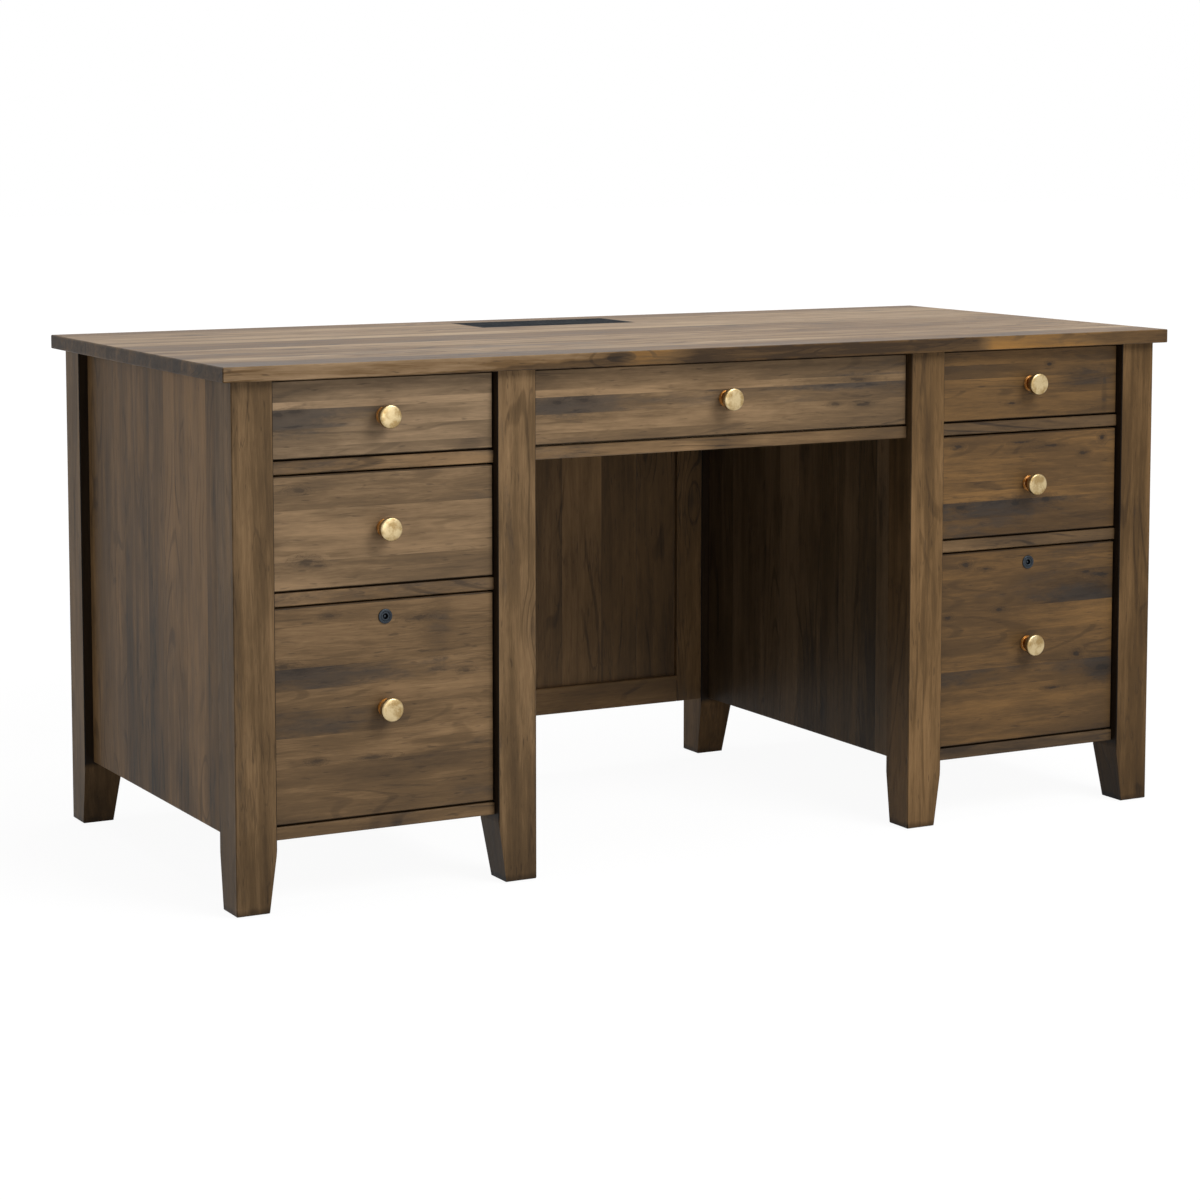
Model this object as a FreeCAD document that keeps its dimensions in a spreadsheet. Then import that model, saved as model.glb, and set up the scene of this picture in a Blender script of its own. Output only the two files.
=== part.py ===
"""Double-pedestal executive desk with seven drawers, two of them locking file drawers.

The frame is millimetres: X to the right of someone facing the drawers, Y to the back,
Z up, with the origin on the floor under the middle of the desktop.
"""
import FreeCAD, Part
import os
import Sketcher

# Driving sizes, one cell each
SIZES = {
    # desktop
    "top_width": 1606,
    "top_depth": 725,
    "top_thick": 21,
    "desk_height": 762,
    "side_overhang": 17,
    "front_overhang": 15,
    "back_overhang": 18,
    "edge_ease": 1.2,
    # legs, sawn to a taper on the two faces that look into their pedestal
    "leg_size": 61,
    "foot_size": 49,
    "taper_height": 90,
    "glide_height": 2,
    "glide_radius": 11,
    "kneehole_width": 645,
    # panels between the legs
    "panel_thick": 15,
    "panel_recess": 14,
    "skirt_height": 100,
    "back_thick": 12,
    "back_recess": 14,
    # modesty panel at the back of the kneehole
    "modesty_thick": 20,
    "modesty_stile": 48,
    "modesty_rail": 45,
    "modesty_top_rail": 75,
    "modesty_panel_thick": 6,
    "modesty_panel_recess": 10,
    "modesty_tongue": 8,
    "groove_clearance": 0.2,
    # drawer fronts and the rails between them
    "rail_height": 18,
    "front_recess": 12.5,
    "front_thick": 18,
    "front_side_gap": 2,
    "front_gap": 3,
    "shallow_front_height": 108,
    "middle_front_height": 158.5,
    # drawer boxes
    "box_lift": 8,
    "box_side_thick": 12,
    "box_bottom_thick": 6,
    "box_bottom_lift": 8,
    "groove_depth": 5,
    "box_top_margin": 24,
    "file_box_top_margin": 49,
    "box_back_gap": 185,
    "file_box_back_gap": 135,
    # telescopic slides
    "slide_space": 13,
    "slide_lift": 12,
    "slide_height": 35,
    "file_slide_height": 45,
    "slide_setback": 1,
    "slide_tail": 9,
    "slide_sheet": 1.2,
    "slide_play": 0.35,
    "channel_depth": 9.5,
    "batten_margin": 6,
    # cleats that hold the desktop, and their screws
    "cleat_height": 25,
    "screw_spacing": 200,
    "screw_radius": 2,
    "screw_bite": 12,
    "screw_head_radius": 4.5,
    "screw_head_thick": 3,
    "hole_clearance": 0.15,
    # turned knobs
    "knob_head_radius": 16.75,
    "knob_head_thick": 11,
    "knob_projection": 26,
    "knob_bevel": 2.5,
    "knob_neck_radius": 8,
    "knob_flare": 3,
    "knob_base_radius": 12.5,
    "knob_base_thick": 3,
    "knob_screw_engagement": 9,
    # cam locks of the file drawers
    "lock_drop": 22,
    "lock_bezel_radius": 10.5,
    "lock_bezel_thick": 2,
    "lock_bezel_bevel": 0.8,
    "lock_barrel_radius": 9,
    "lock_barrel_tail": 3,
    "lock_nut_thick": 4,
    "lock_nut_radius": 13,
    "lock_plug_radius": 6.5,
    "lock_plug_setback": 0.4,
    "keyway_width": 1.8,
    "keyway_height": 7,
    "keyway_depth": 12,
    "cam_length": 31,
    "cam_width": 14,
    "cam_thick": 2.5,
    "cam_gap": 0.3,
    "cam_clearance": 1.5,
    "running_clearance": 0.06,
    # cable well in the desktop, with its lid and socket block
    "well_width": 280,
    "well_depth": 120,
    "well_height": 60,
    "well_back_margin": 52,
    "well_flange": 8,
    "well_flange_thick": 3,
    "well_wall": 2.5,
    "well_fit": 0.3,
    "cable_slot_width": 90,
    "cable_slot_depth": 26,
    "cable_slot_inset": 14,
    "lid_thick": 3,
    "lid_gap": 0.75,
    "lid_notch_width": 120,
    "lid_notch_depth": 9,
    "hinge_inset": 6.5,
    "hinge_drop": 4.5,
    "hinge_radius": 3.2,
    "hinge_pin_radius": 2,
    "hinge_pin_length": 2.2,
    "socket_end_gap": 14,
    "socket_block_depth": 36,
    "socket_headroom": 16,
    "socket_back_gap": 4,
    "socket_radius": 17,
    "socket_recess": 3,
    "socket_spacing": 62,
    "gland_radius": 7,
    "gland_length": 10,
    "gland_end_inset": 23,
    "gland_front_inset": 10,
}

doc = FreeCAD.newDocument("executive_desk")
sheet = doc.addObject("Spreadsheet::Sheet", "sizes")
for row, (alias, number) in enumerate(SIZES.items(), start=1):
    sheet.set(f"A{row}", alias)
    sheet.set(f"B{row}", str(number))
    sheet.setAlias(f"B{row}", alias)
doc.recompute()

# Places that several pieces share, as expressions of the sheet
LEG_FRONT = "(-sizes.top_depth / 2 + sizes.front_overhang)"
LEG_BACK = "(sizes.top_depth / 2 - sizes.back_overhang)"
LEG_OUTER = "(sizes.top_width / 2 - sizes.side_overhang)"
KNEE = "(sizes.kneehole_width / 2)"
BAY_INNER = f"({KNEE} + sizes.leg_size)"
BAY_OUTER = f"({LEG_OUTER} - sizes.leg_size)"
FRONT_LEG_REAR = f"({LEG_FRONT} + sizes.leg_size)"
REAR_LEG_FRONT = f"({LEG_BACK} - sizes.leg_size)"
BETWEEN_LEGS = (FRONT_LEG_REAR, REAR_LEG_FRONT)
UNDER_TOP = "(sizes.desk_height - sizes.top_thick)"
FRONT_FACE = f"({LEG_FRONT} + sizes.front_recess)"
FRONT_REAR = f"({FRONT_FACE} + sizes.front_thick)"
FRONT_SPAN = (FRONT_FACE, FRONT_REAR)

# Heights of the drawer fronts and of the rails between them, from the top down
SHALLOW_TOP = f"({UNDER_TOP} - sizes.front_gap)"
SHALLOW_LOW = f"({SHALLOW_TOP} - sizes.shallow_front_height)"
UPPER_RAIL = (f"({SHALLOW_LOW} - sizes.front_gap - sizes.rail_height)",
              f"({SHALLOW_LOW} - sizes.front_gap)")
MIDDLE_TOP = f"({UPPER_RAIL[0]} - sizes.front_gap)"
MIDDLE_LOW = f"({MIDDLE_TOP} - sizes.middle_front_height)"
LOWER_RAIL = (f"({MIDDLE_LOW} - sizes.front_gap - sizes.rail_height)",
              f"({MIDDLE_LOW} - sizes.front_gap)")
FILE_TOP = f"({LOWER_RAIL[0]} - sizes.front_gap)"
BASE_RAIL = ("sizes.skirt_height", "(sizes.skirt_height + sizes.rail_height)")
FILE_LOW = f"({BASE_RAIL[1]} + sizes.front_gap)"
LOCK_HEIGHT = f"({FILE_TOP} - sizes.lock_drop)"
LOCK_LENGTH = "(sizes.front_thick + sizes.lock_nut_thick + sizes.lock_barrel_tail)"

# Inside faces of the side panels, and the strips beside the drawers that battens fill
PANEL_INNER = f"({KNEE} + sizes.panel_recess + sizes.panel_thick)"
PANEL_OUTER = f"({LEG_OUTER} - sizes.panel_recess - sizes.panel_thick)"
BATTEN_BAYS = (("inner", PANEL_INNER, BAY_INNER), ("outer", BAY_OUTER, PANEL_OUTER))
RAIL_SPAN = (FRONT_FACE, FRONT_LEG_REAR)
CAM_SPAN = (f"({FRONT_FACE} + {LOCK_LENGTH} + sizes.cam_gap)",
            f"({FRONT_FACE} + {LOCK_LENGTH} + sizes.cam_gap + sizes.cam_thick)")
BACK_FACE = f"({LEG_BACK} - sizes.back_recess)"
BACK_SPAN = (f"({BACK_FACE} - sizes.back_thick)", BACK_FACE)

# Outline, mouth and underside of the cable well
WELL_BACK = "(sizes.top_depth / 2 - sizes.well_back_margin)"
WELL_FRONT = f"({WELL_BACK} - sizes.well_depth)"
WELL_MOUTH = (f"({WELL_FRONT} + sizes.well_flange)", f"({WELL_BACK} - sizes.well_flange)")
WELL_HALF = "(sizes.well_width / 2 - sizes.well_flange)"
WELL_SKIRT = f"({WELL_HALF} + sizes.well_wall)"
WELL_CUT = f"({WELL_SKIRT} + sizes.well_fit)"
WELL_LOW = "(sizes.desk_height - sizes.well_height)"

# Turns that lay a cylinder along an axis of the desk
ALONG_X = ((0, 1, 0), 90)
ALONG_Z = ((0, 0, 1), 0)
TO_BACK = ((1, 0, 0), -90)

SIDES = (("left", -1), ("right", 1))
nodes = []


def mirrored(side, near, far):
    """The X range between two distances from the middle of the desk, on one side of it."""
    return (near, far) if side > 0 else (f"(-{far})", f"(-{near})")


def from_wall(wall, towards, near, far):
    """The X range between two distances from a wall, measured towards +X or -X."""
    if towards > 0:
        return f"({wall} + {near})", f"({wall} + {far})"
    return f"({wall} - {far})", f"({wall} - {near})"


def middle(span):
    return f"(({span[0]} + {span[1]}) / 2)"


def place(thing, x, y, z):
    for axis, expression in zip("xyz", (x, y, z)):
        thing.setExpression(f"Placement.Base.{axis}", expression)


def size_block(block, x, y, z):
    """Binds a box to its X, Y and Z ranges."""
    for name, span in zip(("Length", "Width", "Height"), (x, y, z)):
        block.setExpression(name, f"{span[1]} - {span[0]}")
    place(block, x[0], y[0], z[0])
    return block


def block(name, x, y, z):
    return size_block(doc.addObject("Part::Box", name), x, y, z)


def cut(name, base, tool):
    made = doc.addObject("Part::Cut", name)
    made.Base, made.Tool = base, tool
    return made


def group(name, members):
    made = doc.addObject("Part::Compound", name)
    made.Links = members
    return made


def node(label, thing):
    """Names a finished sub-part."""
    thing.Label = label
    nodes.append(thing)
    return thing


def board(name, x, y, z):
    """A body holding one board with its sharp edges eased."""
    body = doc.addObject("PartDesign::Body", name)
    blank = size_block(body.newObject("PartDesign::AdditiveBox", f"{name}_blank"), x, y, z)
    ease = body.newObject("PartDesign::Chamfer", f"{name}_ease")
    ease.Base = (blank, [""])
    ease.UseAllEdges = True
    ease.setExpression("Size", "sizes.edge_ease")
    return body


def carve(body, name, x, y, z):
    """Takes a box out of a body."""
    return size_block(body.newObject("PartDesign::SubtractiveBox", name), x, y, z)


def add_round(body, kind, name, radius, length, at, axis, turn):
    """Adds or takes a cylinder whose axis is Z turned about an axis by some degrees."""
    made = body.newObject(f"PartDesign::{kind}Cylinder", name)
    made.Placement = FreeCAD.Placement(FreeCAD.Vector(), FreeCAD.Rotation(FreeCAD.Vector(*axis), turn))
    made.setExpression("Radius", radius)
    made.setExpression("Height", length)
    place(made, *at)
    return made


def bore_back(body, name, radius, length, x, y, z):
    """A hole that runs from a point towards the back of the desk."""
    return add_round(body, "Subtractive", name, radius, length, (x, y, z), *TO_BACK)


def rod(name, radius, length, at):
    """An upright cylinder that starts at a point."""
    made = doc.addObject("Part::Cylinder", name)
    made.setExpression("Radius", radius)
    made.setExpression("Height", length)
    place(made, *at)
    return made


def outline(body, name, points):
    """A closed sketch on the body's XZ plane, each corner held at its two expressions."""
    sketch = body.newObject("Sketcher::SketchObject", name)
    plane = next(f for f in body.Origin.OriginFeatures if f.Role == "XZ_Plane")
    sketch.AttachmentSupport = [(plane, "")]
    sketch.MapMode = "FlatFace"
    corners = [FreeCAD.Vector(*(float(sketch.evalExpression(e)) for e in point), 0) for point in points]
    count = len(corners)
    for i, corner in enumerate(corners):
        sketch.addGeometry(Part.LineSegment(corner, corners[(i + 1) % count]))
    for i in range(count):
        sketch.addConstraint(Sketcher.Constraint("Coincident", i, 2, (i + 1) % count, 1))
    for i, (across, along) in enumerate(points):
        for kind, line, expression, at in (("DistanceX", -2, across, corners[i].x),
                                           ("DistanceY", -1, along, corners[i].y)):
            if expression == "0":
                sketch.addConstraint(Sketcher.Constraint("PointOnObject", i, 1, line))
            else:
                held = sketch.addConstraint(Sketcher.Constraint(kind, -1, 1, i, 1, at))
                sketch.setExpression(f"Constraints[{held}]", expression)
    return sketch


def turned(name, points, x, y, z):
    """A body turned about its own Z, which is then pointed at the front of the desk.

    The points are (radius, height), and height 0 is at the given place.
    """
    body = doc.addObject("PartDesign::Body", name)
    sketch = outline(body, f"{name}_outline", points)
    turning = body.newObject("PartDesign::Revolution", f"{name}_turning")
    turning.Profile = sketch
    turning.ReferenceAxis = (sketch, ["V_Axis"])
    turning.Angle = 360
    sketch.Visibility = False
    body.Placement = FreeCAD.Placement(FreeCAD.Vector(), FreeCAD.Rotation(FreeCAD.Vector(1, 0, 0), 90))
    place(body, x, y, z)
    return body


def taper(body, name, turn, towards, x, y):
    """Saws one face of a leg to a taper, from its foot up to taper_height."""
    saw = body.newObject("PartDesign::SubtractiveWedge", name)
    saw.Placement = FreeCAD.Placement(FreeCAD.Vector(), turn)
    waste = "(sizes.leg_size - sizes.foot_size)"
    if towards > 0:
        across = (f"-{waste}", "sizes.leg_size", "0", "sizes.leg_size")
    else:
        across = ("-sizes.leg_size", waste, "-sizes.leg_size", "0")
    for name, expression in zip(("Xmin", "Xmax", "X2min", "X2max"), across):
        saw.setExpression(name, expression)
    saw.setExpression("Ymin", "0")
    saw.setExpression("Ymax", "sizes.taper_height - sizes.glide_height")
    for low, high in (("Zmin", "Zmax"), ("Z2min", "Z2max")):
        saw.setExpression(low, "-2 * sizes.leg_size")
        saw.setExpression(high, "2 * sizes.leg_size")
    place(saw, x, y, "sizes.glide_height")


def legs_and_glides():
    """Eight square legs, four to a pedestal, and the glide under each."""
    across_x = FreeCAD.Rotation(FreeCAD.Vector(1, 0, 0), 90)
    across_y = FreeCAD.Rotation(FreeCAD.Vector(1, 1, 1), 120)
    glides = []
    for side_name, side in SIDES:
        for row_name, near, far, taper_x, foot_x in (
            ("outer", BAY_OUTER, LEG_OUTER, -side, f"({LEG_OUTER} - sizes.foot_size / 2)"),
            ("inner", KNEE, BAY_INNER, side, f"({KNEE} + sizes.foot_size / 2)"),
        ):
            for end_name, y, taper_y, foot_y in (
                ("front", (LEG_FRONT, FRONT_LEG_REAR), 1, f"{LEG_FRONT} + sizes.foot_size / 2"),
                ("rear", (REAR_LEG_FRONT, LEG_BACK), -1, f"{LEG_BACK} - sizes.foot_size / 2"),
            ):
                label = f"leg_{side_name}_{row_name}_{end_name}"
                x = mirrored(side, near, far)
                body = board(f"{label}_body", x, y, ("sizes.glide_height", UNDER_TOP))
                taper(body, f"{label}_taper_x", across_x, taper_x, x[taper_x > 0], y[0])
                taper(body, f"{label}_taper_y", across_y, taper_y, x[0], y[taper_y > 0])
                node(label, body)
                glides.append(rod(f"{label}_glide", "sizes.glide_radius", "sizes.glide_height",
                                  (f"{side} * {foot_x}", foot_y, "0")))
    node("leg_glides", group("glides", glides))


def pedestals():
    """Side panels, backs, floors and rails between the legs of both pedestals."""
    backs, floors, rails = [], [], []
    panel_heights = ("sizes.skirt_height", UNDER_TOP)
    for name, side in SIDES:
        bay = mirrored(side, BAY_INNER, BAY_OUTER)
        outer = mirrored(side, PANEL_OUTER, f"({PANEL_OUTER} + sizes.panel_thick)")
        inner = mirrored(side, f"({PANEL_INNER} - sizes.panel_thick)", PANEL_INNER)
        for row_name, x in (("outer", outer), ("inner", inner)):
            label = f"side_panel_{name}_{row_name}"
            node(label, board(f"{label}_body", x, BETWEEN_LEGS, panel_heights))
        backs.append(board(f"back_{name}", bay, BACK_SPAN, (BASE_RAIL[1], UNDER_TOP)))
        between_panels = mirrored(side, PANEL_INNER, PANEL_OUTER)
        floors.append(board(f"floor_{name}", between_panels, BETWEEN_LEGS, BASE_RAIL))
        for rail_name, z in (("upper", UPPER_RAIL), ("lower", LOWER_RAIL), ("base", BASE_RAIL)):
            rails.append(board(f"rail_{name}_{rail_name}", bay, RAIL_SPAN, z))
            if rail_name == "lower":
                carve_lock_mortise(rails[-1], name, middle(bay))
        rails.append(board(f"rail_{name}_rear", bay, (REAR_LEG_FRONT, BACK_FACE), BASE_RAIL))
    node("pedestal_backs", group("backs", backs))
    node("pedestal_floors", group("floors", floors))
    node("pedestal_rails", group("rails", rails))
    node("centre_rail", board("centre_rail_body", (f"(-{KNEE})", KNEE), RAIL_SPAN, UPPER_RAIL))


def carve_lock_mortise(rail, name, x):
    """The slot under a rail that the lock's cam turns up into."""
    reach = "sqrt(sizes.cam_length ^ 2 + sizes.cam_width ^ 2 / 4)"
    carve(
        rail,
        f"lock_mortise_{name}",
        (f"({x} - sizes.cam_length)", f"({x} + sizes.cam_length)"),
        (f"({CAM_SPAN[0]} - sizes.cam_clearance)", f"({CAM_SPAN[1]} + sizes.cam_clearance)"),
        (f"({LOWER_RAIL[0]} - sizes.cam_clearance)",
         f"({LOCK_HEIGHT} + {reach} + sizes.cam_clearance)"),
    )


def modesty():
    """A frame of two stiles and two rails, grooved round a thin panel and notched for the well."""
    inside = f"({KNEE} - sizes.modesty_stile)"
    y = (REAR_LEG_FRONT, f"({REAR_LEG_FRONT} + sizes.modesty_thick)")
    low = ("sizes.skirt_height", "(sizes.skirt_height + sizes.modesty_rail)")
    high = (f"({UNDER_TOP} - sizes.modesty_top_rail)", UNDER_TOP)
    edge = f"({inside} + sizes.modesty_tongue)"
    face = f"({REAR_LEG_FRONT} + sizes.modesty_panel_recess)"
    panel = (
        (f"(-{edge})", edge),
        (face, f"({face} + sizes.modesty_panel_thick)"),
        (f"({low[1]} - sizes.modesty_tongue)", f"({high[0]} + sizes.modesty_tongue)"),
    )
    groove = [(f"({a} - sizes.groove_clearance)", f"({b} + sizes.groove_clearance)") for a, b in panel]
    members = [board(f"modesty_stile_{name}", mirrored(side, inside, KNEE), y, (low[0], high[1]))
               for name, side in SIDES]
    members += [board(f"modesty_rail_{name}", (f"(-{inside})", inside), y, z)
                for name, z in (("low", low), ("high", high))]
    for member in members:
        carve(member, f"{member.Name}_groove", *groove)
    carve(members[-1], "modesty_well_notch", (f"(-{WELL_CUT})", WELL_CUT),
          (f"({y[0]} - sizes.well_fit)", f"({y[1]} + sizes.well_fit)"),
          (f"({WELL_LOW} - sizes.well_fit)", f"({UNDER_TOP} + sizes.well_fit)"))
    node("modesty_frame", group("modesty_members", members))
    node("modesty_panel", block("modesty_board", *panel))


def screw_and_hole(name, at, low):
    """A screw driven up through a cleat from its underside, and the hole it sits in."""
    length = "sizes.cleat_height + sizes.screw_bite"
    hole = rod(f"{name}_hole", "sizes.screw_radius + sizes.hole_clearance",
               f"{length} + 2 * sizes.hole_clearance", (*at, f"{low} - sizes.hole_clearance"))
    screw = doc.addObject("Part::Fuse", f"{name}_screw")
    screw.Base = rod(f"{name}_head", "sizes.screw_head_radius", "sizes.screw_head_thick",
                     (*at, f"{low} - sizes.screw_head_thick"))
    screw.Tool = rod(f"{name}_shank", "sizes.screw_radius", length, (*at, low))
    return hole, screw


def desktop_and_cleats():
    """The desktop with its opening for the cable well, and the cleats screwed up into it.

    Returns the cleats, which are grouped with the other battens.
    """
    body = board(
        "desktop_body",
        ("(-sizes.top_width / 2)", "(sizes.top_width / 2)"),
        ("(-sizes.top_depth / 2)", "(sizes.top_depth / 2)"),
        (UNDER_TOP, "sizes.desk_height"),
    )
    over = "(sizes.desk_height + sizes.well_flange_thick)"
    rim = "(sizes.well_width / 2 + sizes.well_fit)"
    carve(
        body, "well_rebate", (f"(-{rim})", rim),
        (f"({WELL_FRONT} - sizes.well_fit)", f"({WELL_BACK} + sizes.well_fit)"),
        ("(sizes.desk_height - sizes.well_flange_thick)", over),
    )
    carve(
        body, "well_opening", (f"(-{WELL_CUT})", WELL_CUT),
        (f"({WELL_MOUTH[0]} - sizes.well_wall - sizes.well_fit)",
         f"({WELL_MOUTH[1]} + sizes.well_wall + sizes.well_fit)"),
        (f"({UNDER_TOP} - sizes.well_flange_thick)", over),
    )
    cleat_low = f"({UNDER_TOP} - sizes.cleat_height)"
    blanks, drills, screws = [], [], []
    for side_name, side in SIDES:
        for row_name, near, far in BATTEN_BAYS:
            x = mirrored(side, near, far)
            name = f"cleat_{side_name}_{row_name}"
            blanks.append(block(f"{name}_blank", x, BETWEEN_LEGS, (cleat_low, UNDER_TOP)))
            for step in (-1, 0, 1):
                at = (middle(x), f"{middle(BETWEEN_LEGS)} + {step} * sizes.screw_spacing")
                hole, screw = screw_and_hole(f"{name}_{step + 1}", at, cleat_low)
                drills.append(hole)
                screws.append(screw)
    drilled = group("screw_holes", drills)
    node("desktop", cut("drilled_desktop", body, drilled))
    node("top_screws", group("screws", screws))
    return [cut(blank.Name.replace("_blank", ""), blank, drilled) for blank in blanks]


def cable_well():
    """A tray let into the desktop, its hinged lid and the socket block inside it."""
    tray = doc.addObject("PartDesign::Body", "well_tray_body")
    floor_top = f"({WELL_LOW} + sizes.well_wall)"
    size_block(
        tray.newObject("PartDesign::AdditiveBox", "well_flange_plate"),
        ("(-sizes.well_width / 2)", "(sizes.well_width / 2)"), (WELL_FRONT, WELL_BACK),
        ("(sizes.desk_height - sizes.well_flange_thick)", "sizes.desk_height"),
    )
    size_block(
        tray.newObject("PartDesign::AdditiveBox", "well_shell"),
        (f"(-{WELL_SKIRT})", WELL_SKIRT),
        (f"({WELL_MOUTH[0]} - sizes.well_wall)", f"({WELL_MOUTH[1]} + sizes.well_wall)"),
        (WELL_LOW, "sizes.desk_height"),
    )
    carve(tray, "well_hollow", (f"(-{WELL_HALF})", WELL_HALF), WELL_MOUTH,
          (floor_top, "(sizes.desk_height + sizes.well_wall)"))
    slot_front = f"({WELL_MOUTH[0]} + sizes.cable_slot_inset)"
    carve(tray, "cable_slot", ("(-sizes.cable_slot_width / 2)", "(sizes.cable_slot_width / 2)"),
          (slot_front, f"({slot_front} + sizes.cable_slot_depth)"),
          (f"({WELL_LOW} - sizes.well_wall)", f"({floor_top} + sizes.well_wall)"))

    hinge_y = f"({WELL_MOUTH[1]} - sizes.hinge_inset)"
    hinge_z = "(sizes.desk_height - sizes.hinge_drop)"
    add_round(tray, "Subtractive", "hinge_holes", "sizes.hinge_pin_radius + sizes.running_clearance",
              "2 * sizes.well_width", ("-sizes.well_width", hinge_y, hinge_z), *ALONG_X)
    lid_half = f"({WELL_HALF} - sizes.lid_gap)"
    lid_front = f"({WELL_MOUTH[0]} + sizes.lid_gap)"
    lid = doc.addObject("PartDesign::Body", "well_lid_body")
    size_block(lid.newObject("PartDesign::AdditiveBox", "lid_plate"), (f"(-{lid_half})", lid_half),
               (lid_front, f"({hinge_y} + sizes.hinge_radius)"),
               ("(sizes.desk_height - sizes.lid_thick)", "sizes.desk_height"))
    add_round(lid, "Additive", "lid_knuckle", "sizes.hinge_radius", f"2 * {lid_half}",
              (f"-{lid_half}", hinge_y, hinge_z), *ALONG_X)
    add_round(lid, "Additive", "lid_pins", "sizes.hinge_pin_radius",
              f"2 * ({WELL_HALF} + sizes.hinge_pin_length)",
              (f"-({WELL_HALF} + sizes.hinge_pin_length)", hinge_y, hinge_z), *ALONG_X)
    carve(lid, "lid_notch", ("(-sizes.lid_notch_width / 2)", "(sizes.lid_notch_width / 2)"),
          (f"({lid_front} - sizes.lid_notch_depth)", f"({lid_front} + sizes.lid_notch_depth)"),
          ("(sizes.desk_height - 2 * sizes.lid_thick)", "(sizes.desk_height + sizes.lid_thick)"))

    block_half = f"({WELL_HALF} - sizes.socket_end_gap)"
    block_back = f"({WELL_MOUTH[1]} - sizes.socket_back_gap)"
    block_y = (f"({block_back} - sizes.socket_block_depth)", block_back)
    block_z = (floor_top, "(sizes.desk_height - sizes.socket_headroom)")
    sockets = board("socket_block_body", (f"(-{block_half})", block_half), block_y, block_z)
    for step in (-1, 0, 1):
        bore_back(sockets, f"socket_{step + 1}", "sizes.socket_radius", "2 * sizes.socket_recess",
                  f"{step} * sizes.socket_spacing", f"{block_y[0]} - sizes.socket_recess", middle(block_z))
    gland_low = f"({WELL_LOW} - sizes.gland_length)"
    gland_at = (f"{block_half} - sizes.gland_end_inset", f"{block_y[0]} + sizes.gland_front_inset", gland_low)
    add_round(sockets, "Additive", "gland", "sizes.gland_radius",
              f"{floor_top} - {gland_low} + sizes.socket_recess", gland_at, *ALONG_Z)
    add_round(tray, "Subtractive", "gland_hole", "sizes.gland_radius + sizes.well_fit",
              "2 * sizes.gland_length", gland_at, *ALONG_Z)
    node("well_tray", tray)
    node("well_lid", lid)
    node("socket_block", sockets)


def channel(name, wall, towards, near, far, y, z, web_near):
    """A steel U-channel along Y, between two distances from a wall, open away from its web."""
    blank = block(f"{name}_blank", from_wall(wall, towards, near, far), y, z)
    lean = "+" if web_near else "-"
    hollow = block(
        f"{name}_hollow",
        from_wall(wall, towards, f"({near} {lean} sizes.slide_sheet)", f"({far} {lean} sizes.slide_sheet)"),
        (f"({y[0]} - sizes.slide_sheet)", f"({y[1]} + sizes.slide_sheet)"),
        (f"({z[0]} + sizes.slide_sheet)", f"({z[1]} - sizes.slide_sheet)"),
    )
    return cut(name, blank, hollow)


def slides(name, opening, z, end, full_extension):
    """Both slides of one drawer, as lists of fixed, middle and drawer members."""
    y = (f"({FRONT_REAR} + sizes.slide_setback)", f"({end} - sizes.slide_tail)")
    step = "(sizes.slide_sheet + sizes.slide_play)"
    fixed, mids, runners = [], [], []
    for hand, wall, towards in (("l", opening[0], 1), ("r", opening[1], -1)):
        lip = "sizes.channel_depth"
        fixed.append(channel(f"channel_{name}_{hand}", wall, towards, "0", lip, y, z, True))
        nested = (f"({z[0]} + {step})", f"({z[1]} - {step})")
        inset = step
        if full_extension:
            mids.append(channel(f"mid_{name}_{hand}", wall, towards, step, lip, y, nested, True))
            nested = (f"({nested[0]} + {step})", f"({nested[1]} - {step})")
            inset = f"(2 * {step})"
        runners.append(
            channel(f"run_{name}_{hand}", wall, towards, inset, "sizes.slide_space", y, nested, False))
    return fixed, mids, runners


def drawer_box(name, opening, low, high, end):
    """Two grooved sides, a back and a bottom, open at the top and closed by the front."""
    bottom = (f"({low} + sizes.box_bottom_lift)", f"({low} + sizes.box_bottom_lift + sizes.box_bottom_thick)")
    inner = "(sizes.slide_space + sizes.box_side_thick)"
    tongue = f"({inner} - sizes.groove_depth + sizes.groove_clearance)"
    pieces = []
    for hand, wall, towards in (("l", opening[0], 1), ("r", opening[1], -1)):
        side = board(f"box_{name}_side_{hand}", from_wall(wall, towards, "sizes.slide_space", inner),
                     (FRONT_REAR, end), (low, high))
        carve(side, f"box_{name}_groove_{hand}",
              from_wall(wall, towards, f"({inner} - sizes.groove_depth)", f"({inner} + sizes.groove_depth)"),
              (f"({FRONT_REAR} - sizes.groove_depth)", f"({end} + sizes.groove_depth)"),
              (bottom[0], f"({bottom[1]} + sizes.groove_clearance)"))
        pieces.append(side)
    pieces.append(board(f"box_{name}_back", (f"({opening[0]} + {inner})", f"({opening[1]} - {inner})"),
                        (f"({end} - sizes.box_side_thick)", end), (bottom[1], high)))
    pieces.append(block(f"box_{name}_bottom", (f"({opening[0]} + {tongue})", f"({opening[1]} - {tongue})"),
                        (FRONT_REAR, end), bottom))
    return group(f"box_{name}_boards", pieces)


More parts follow.
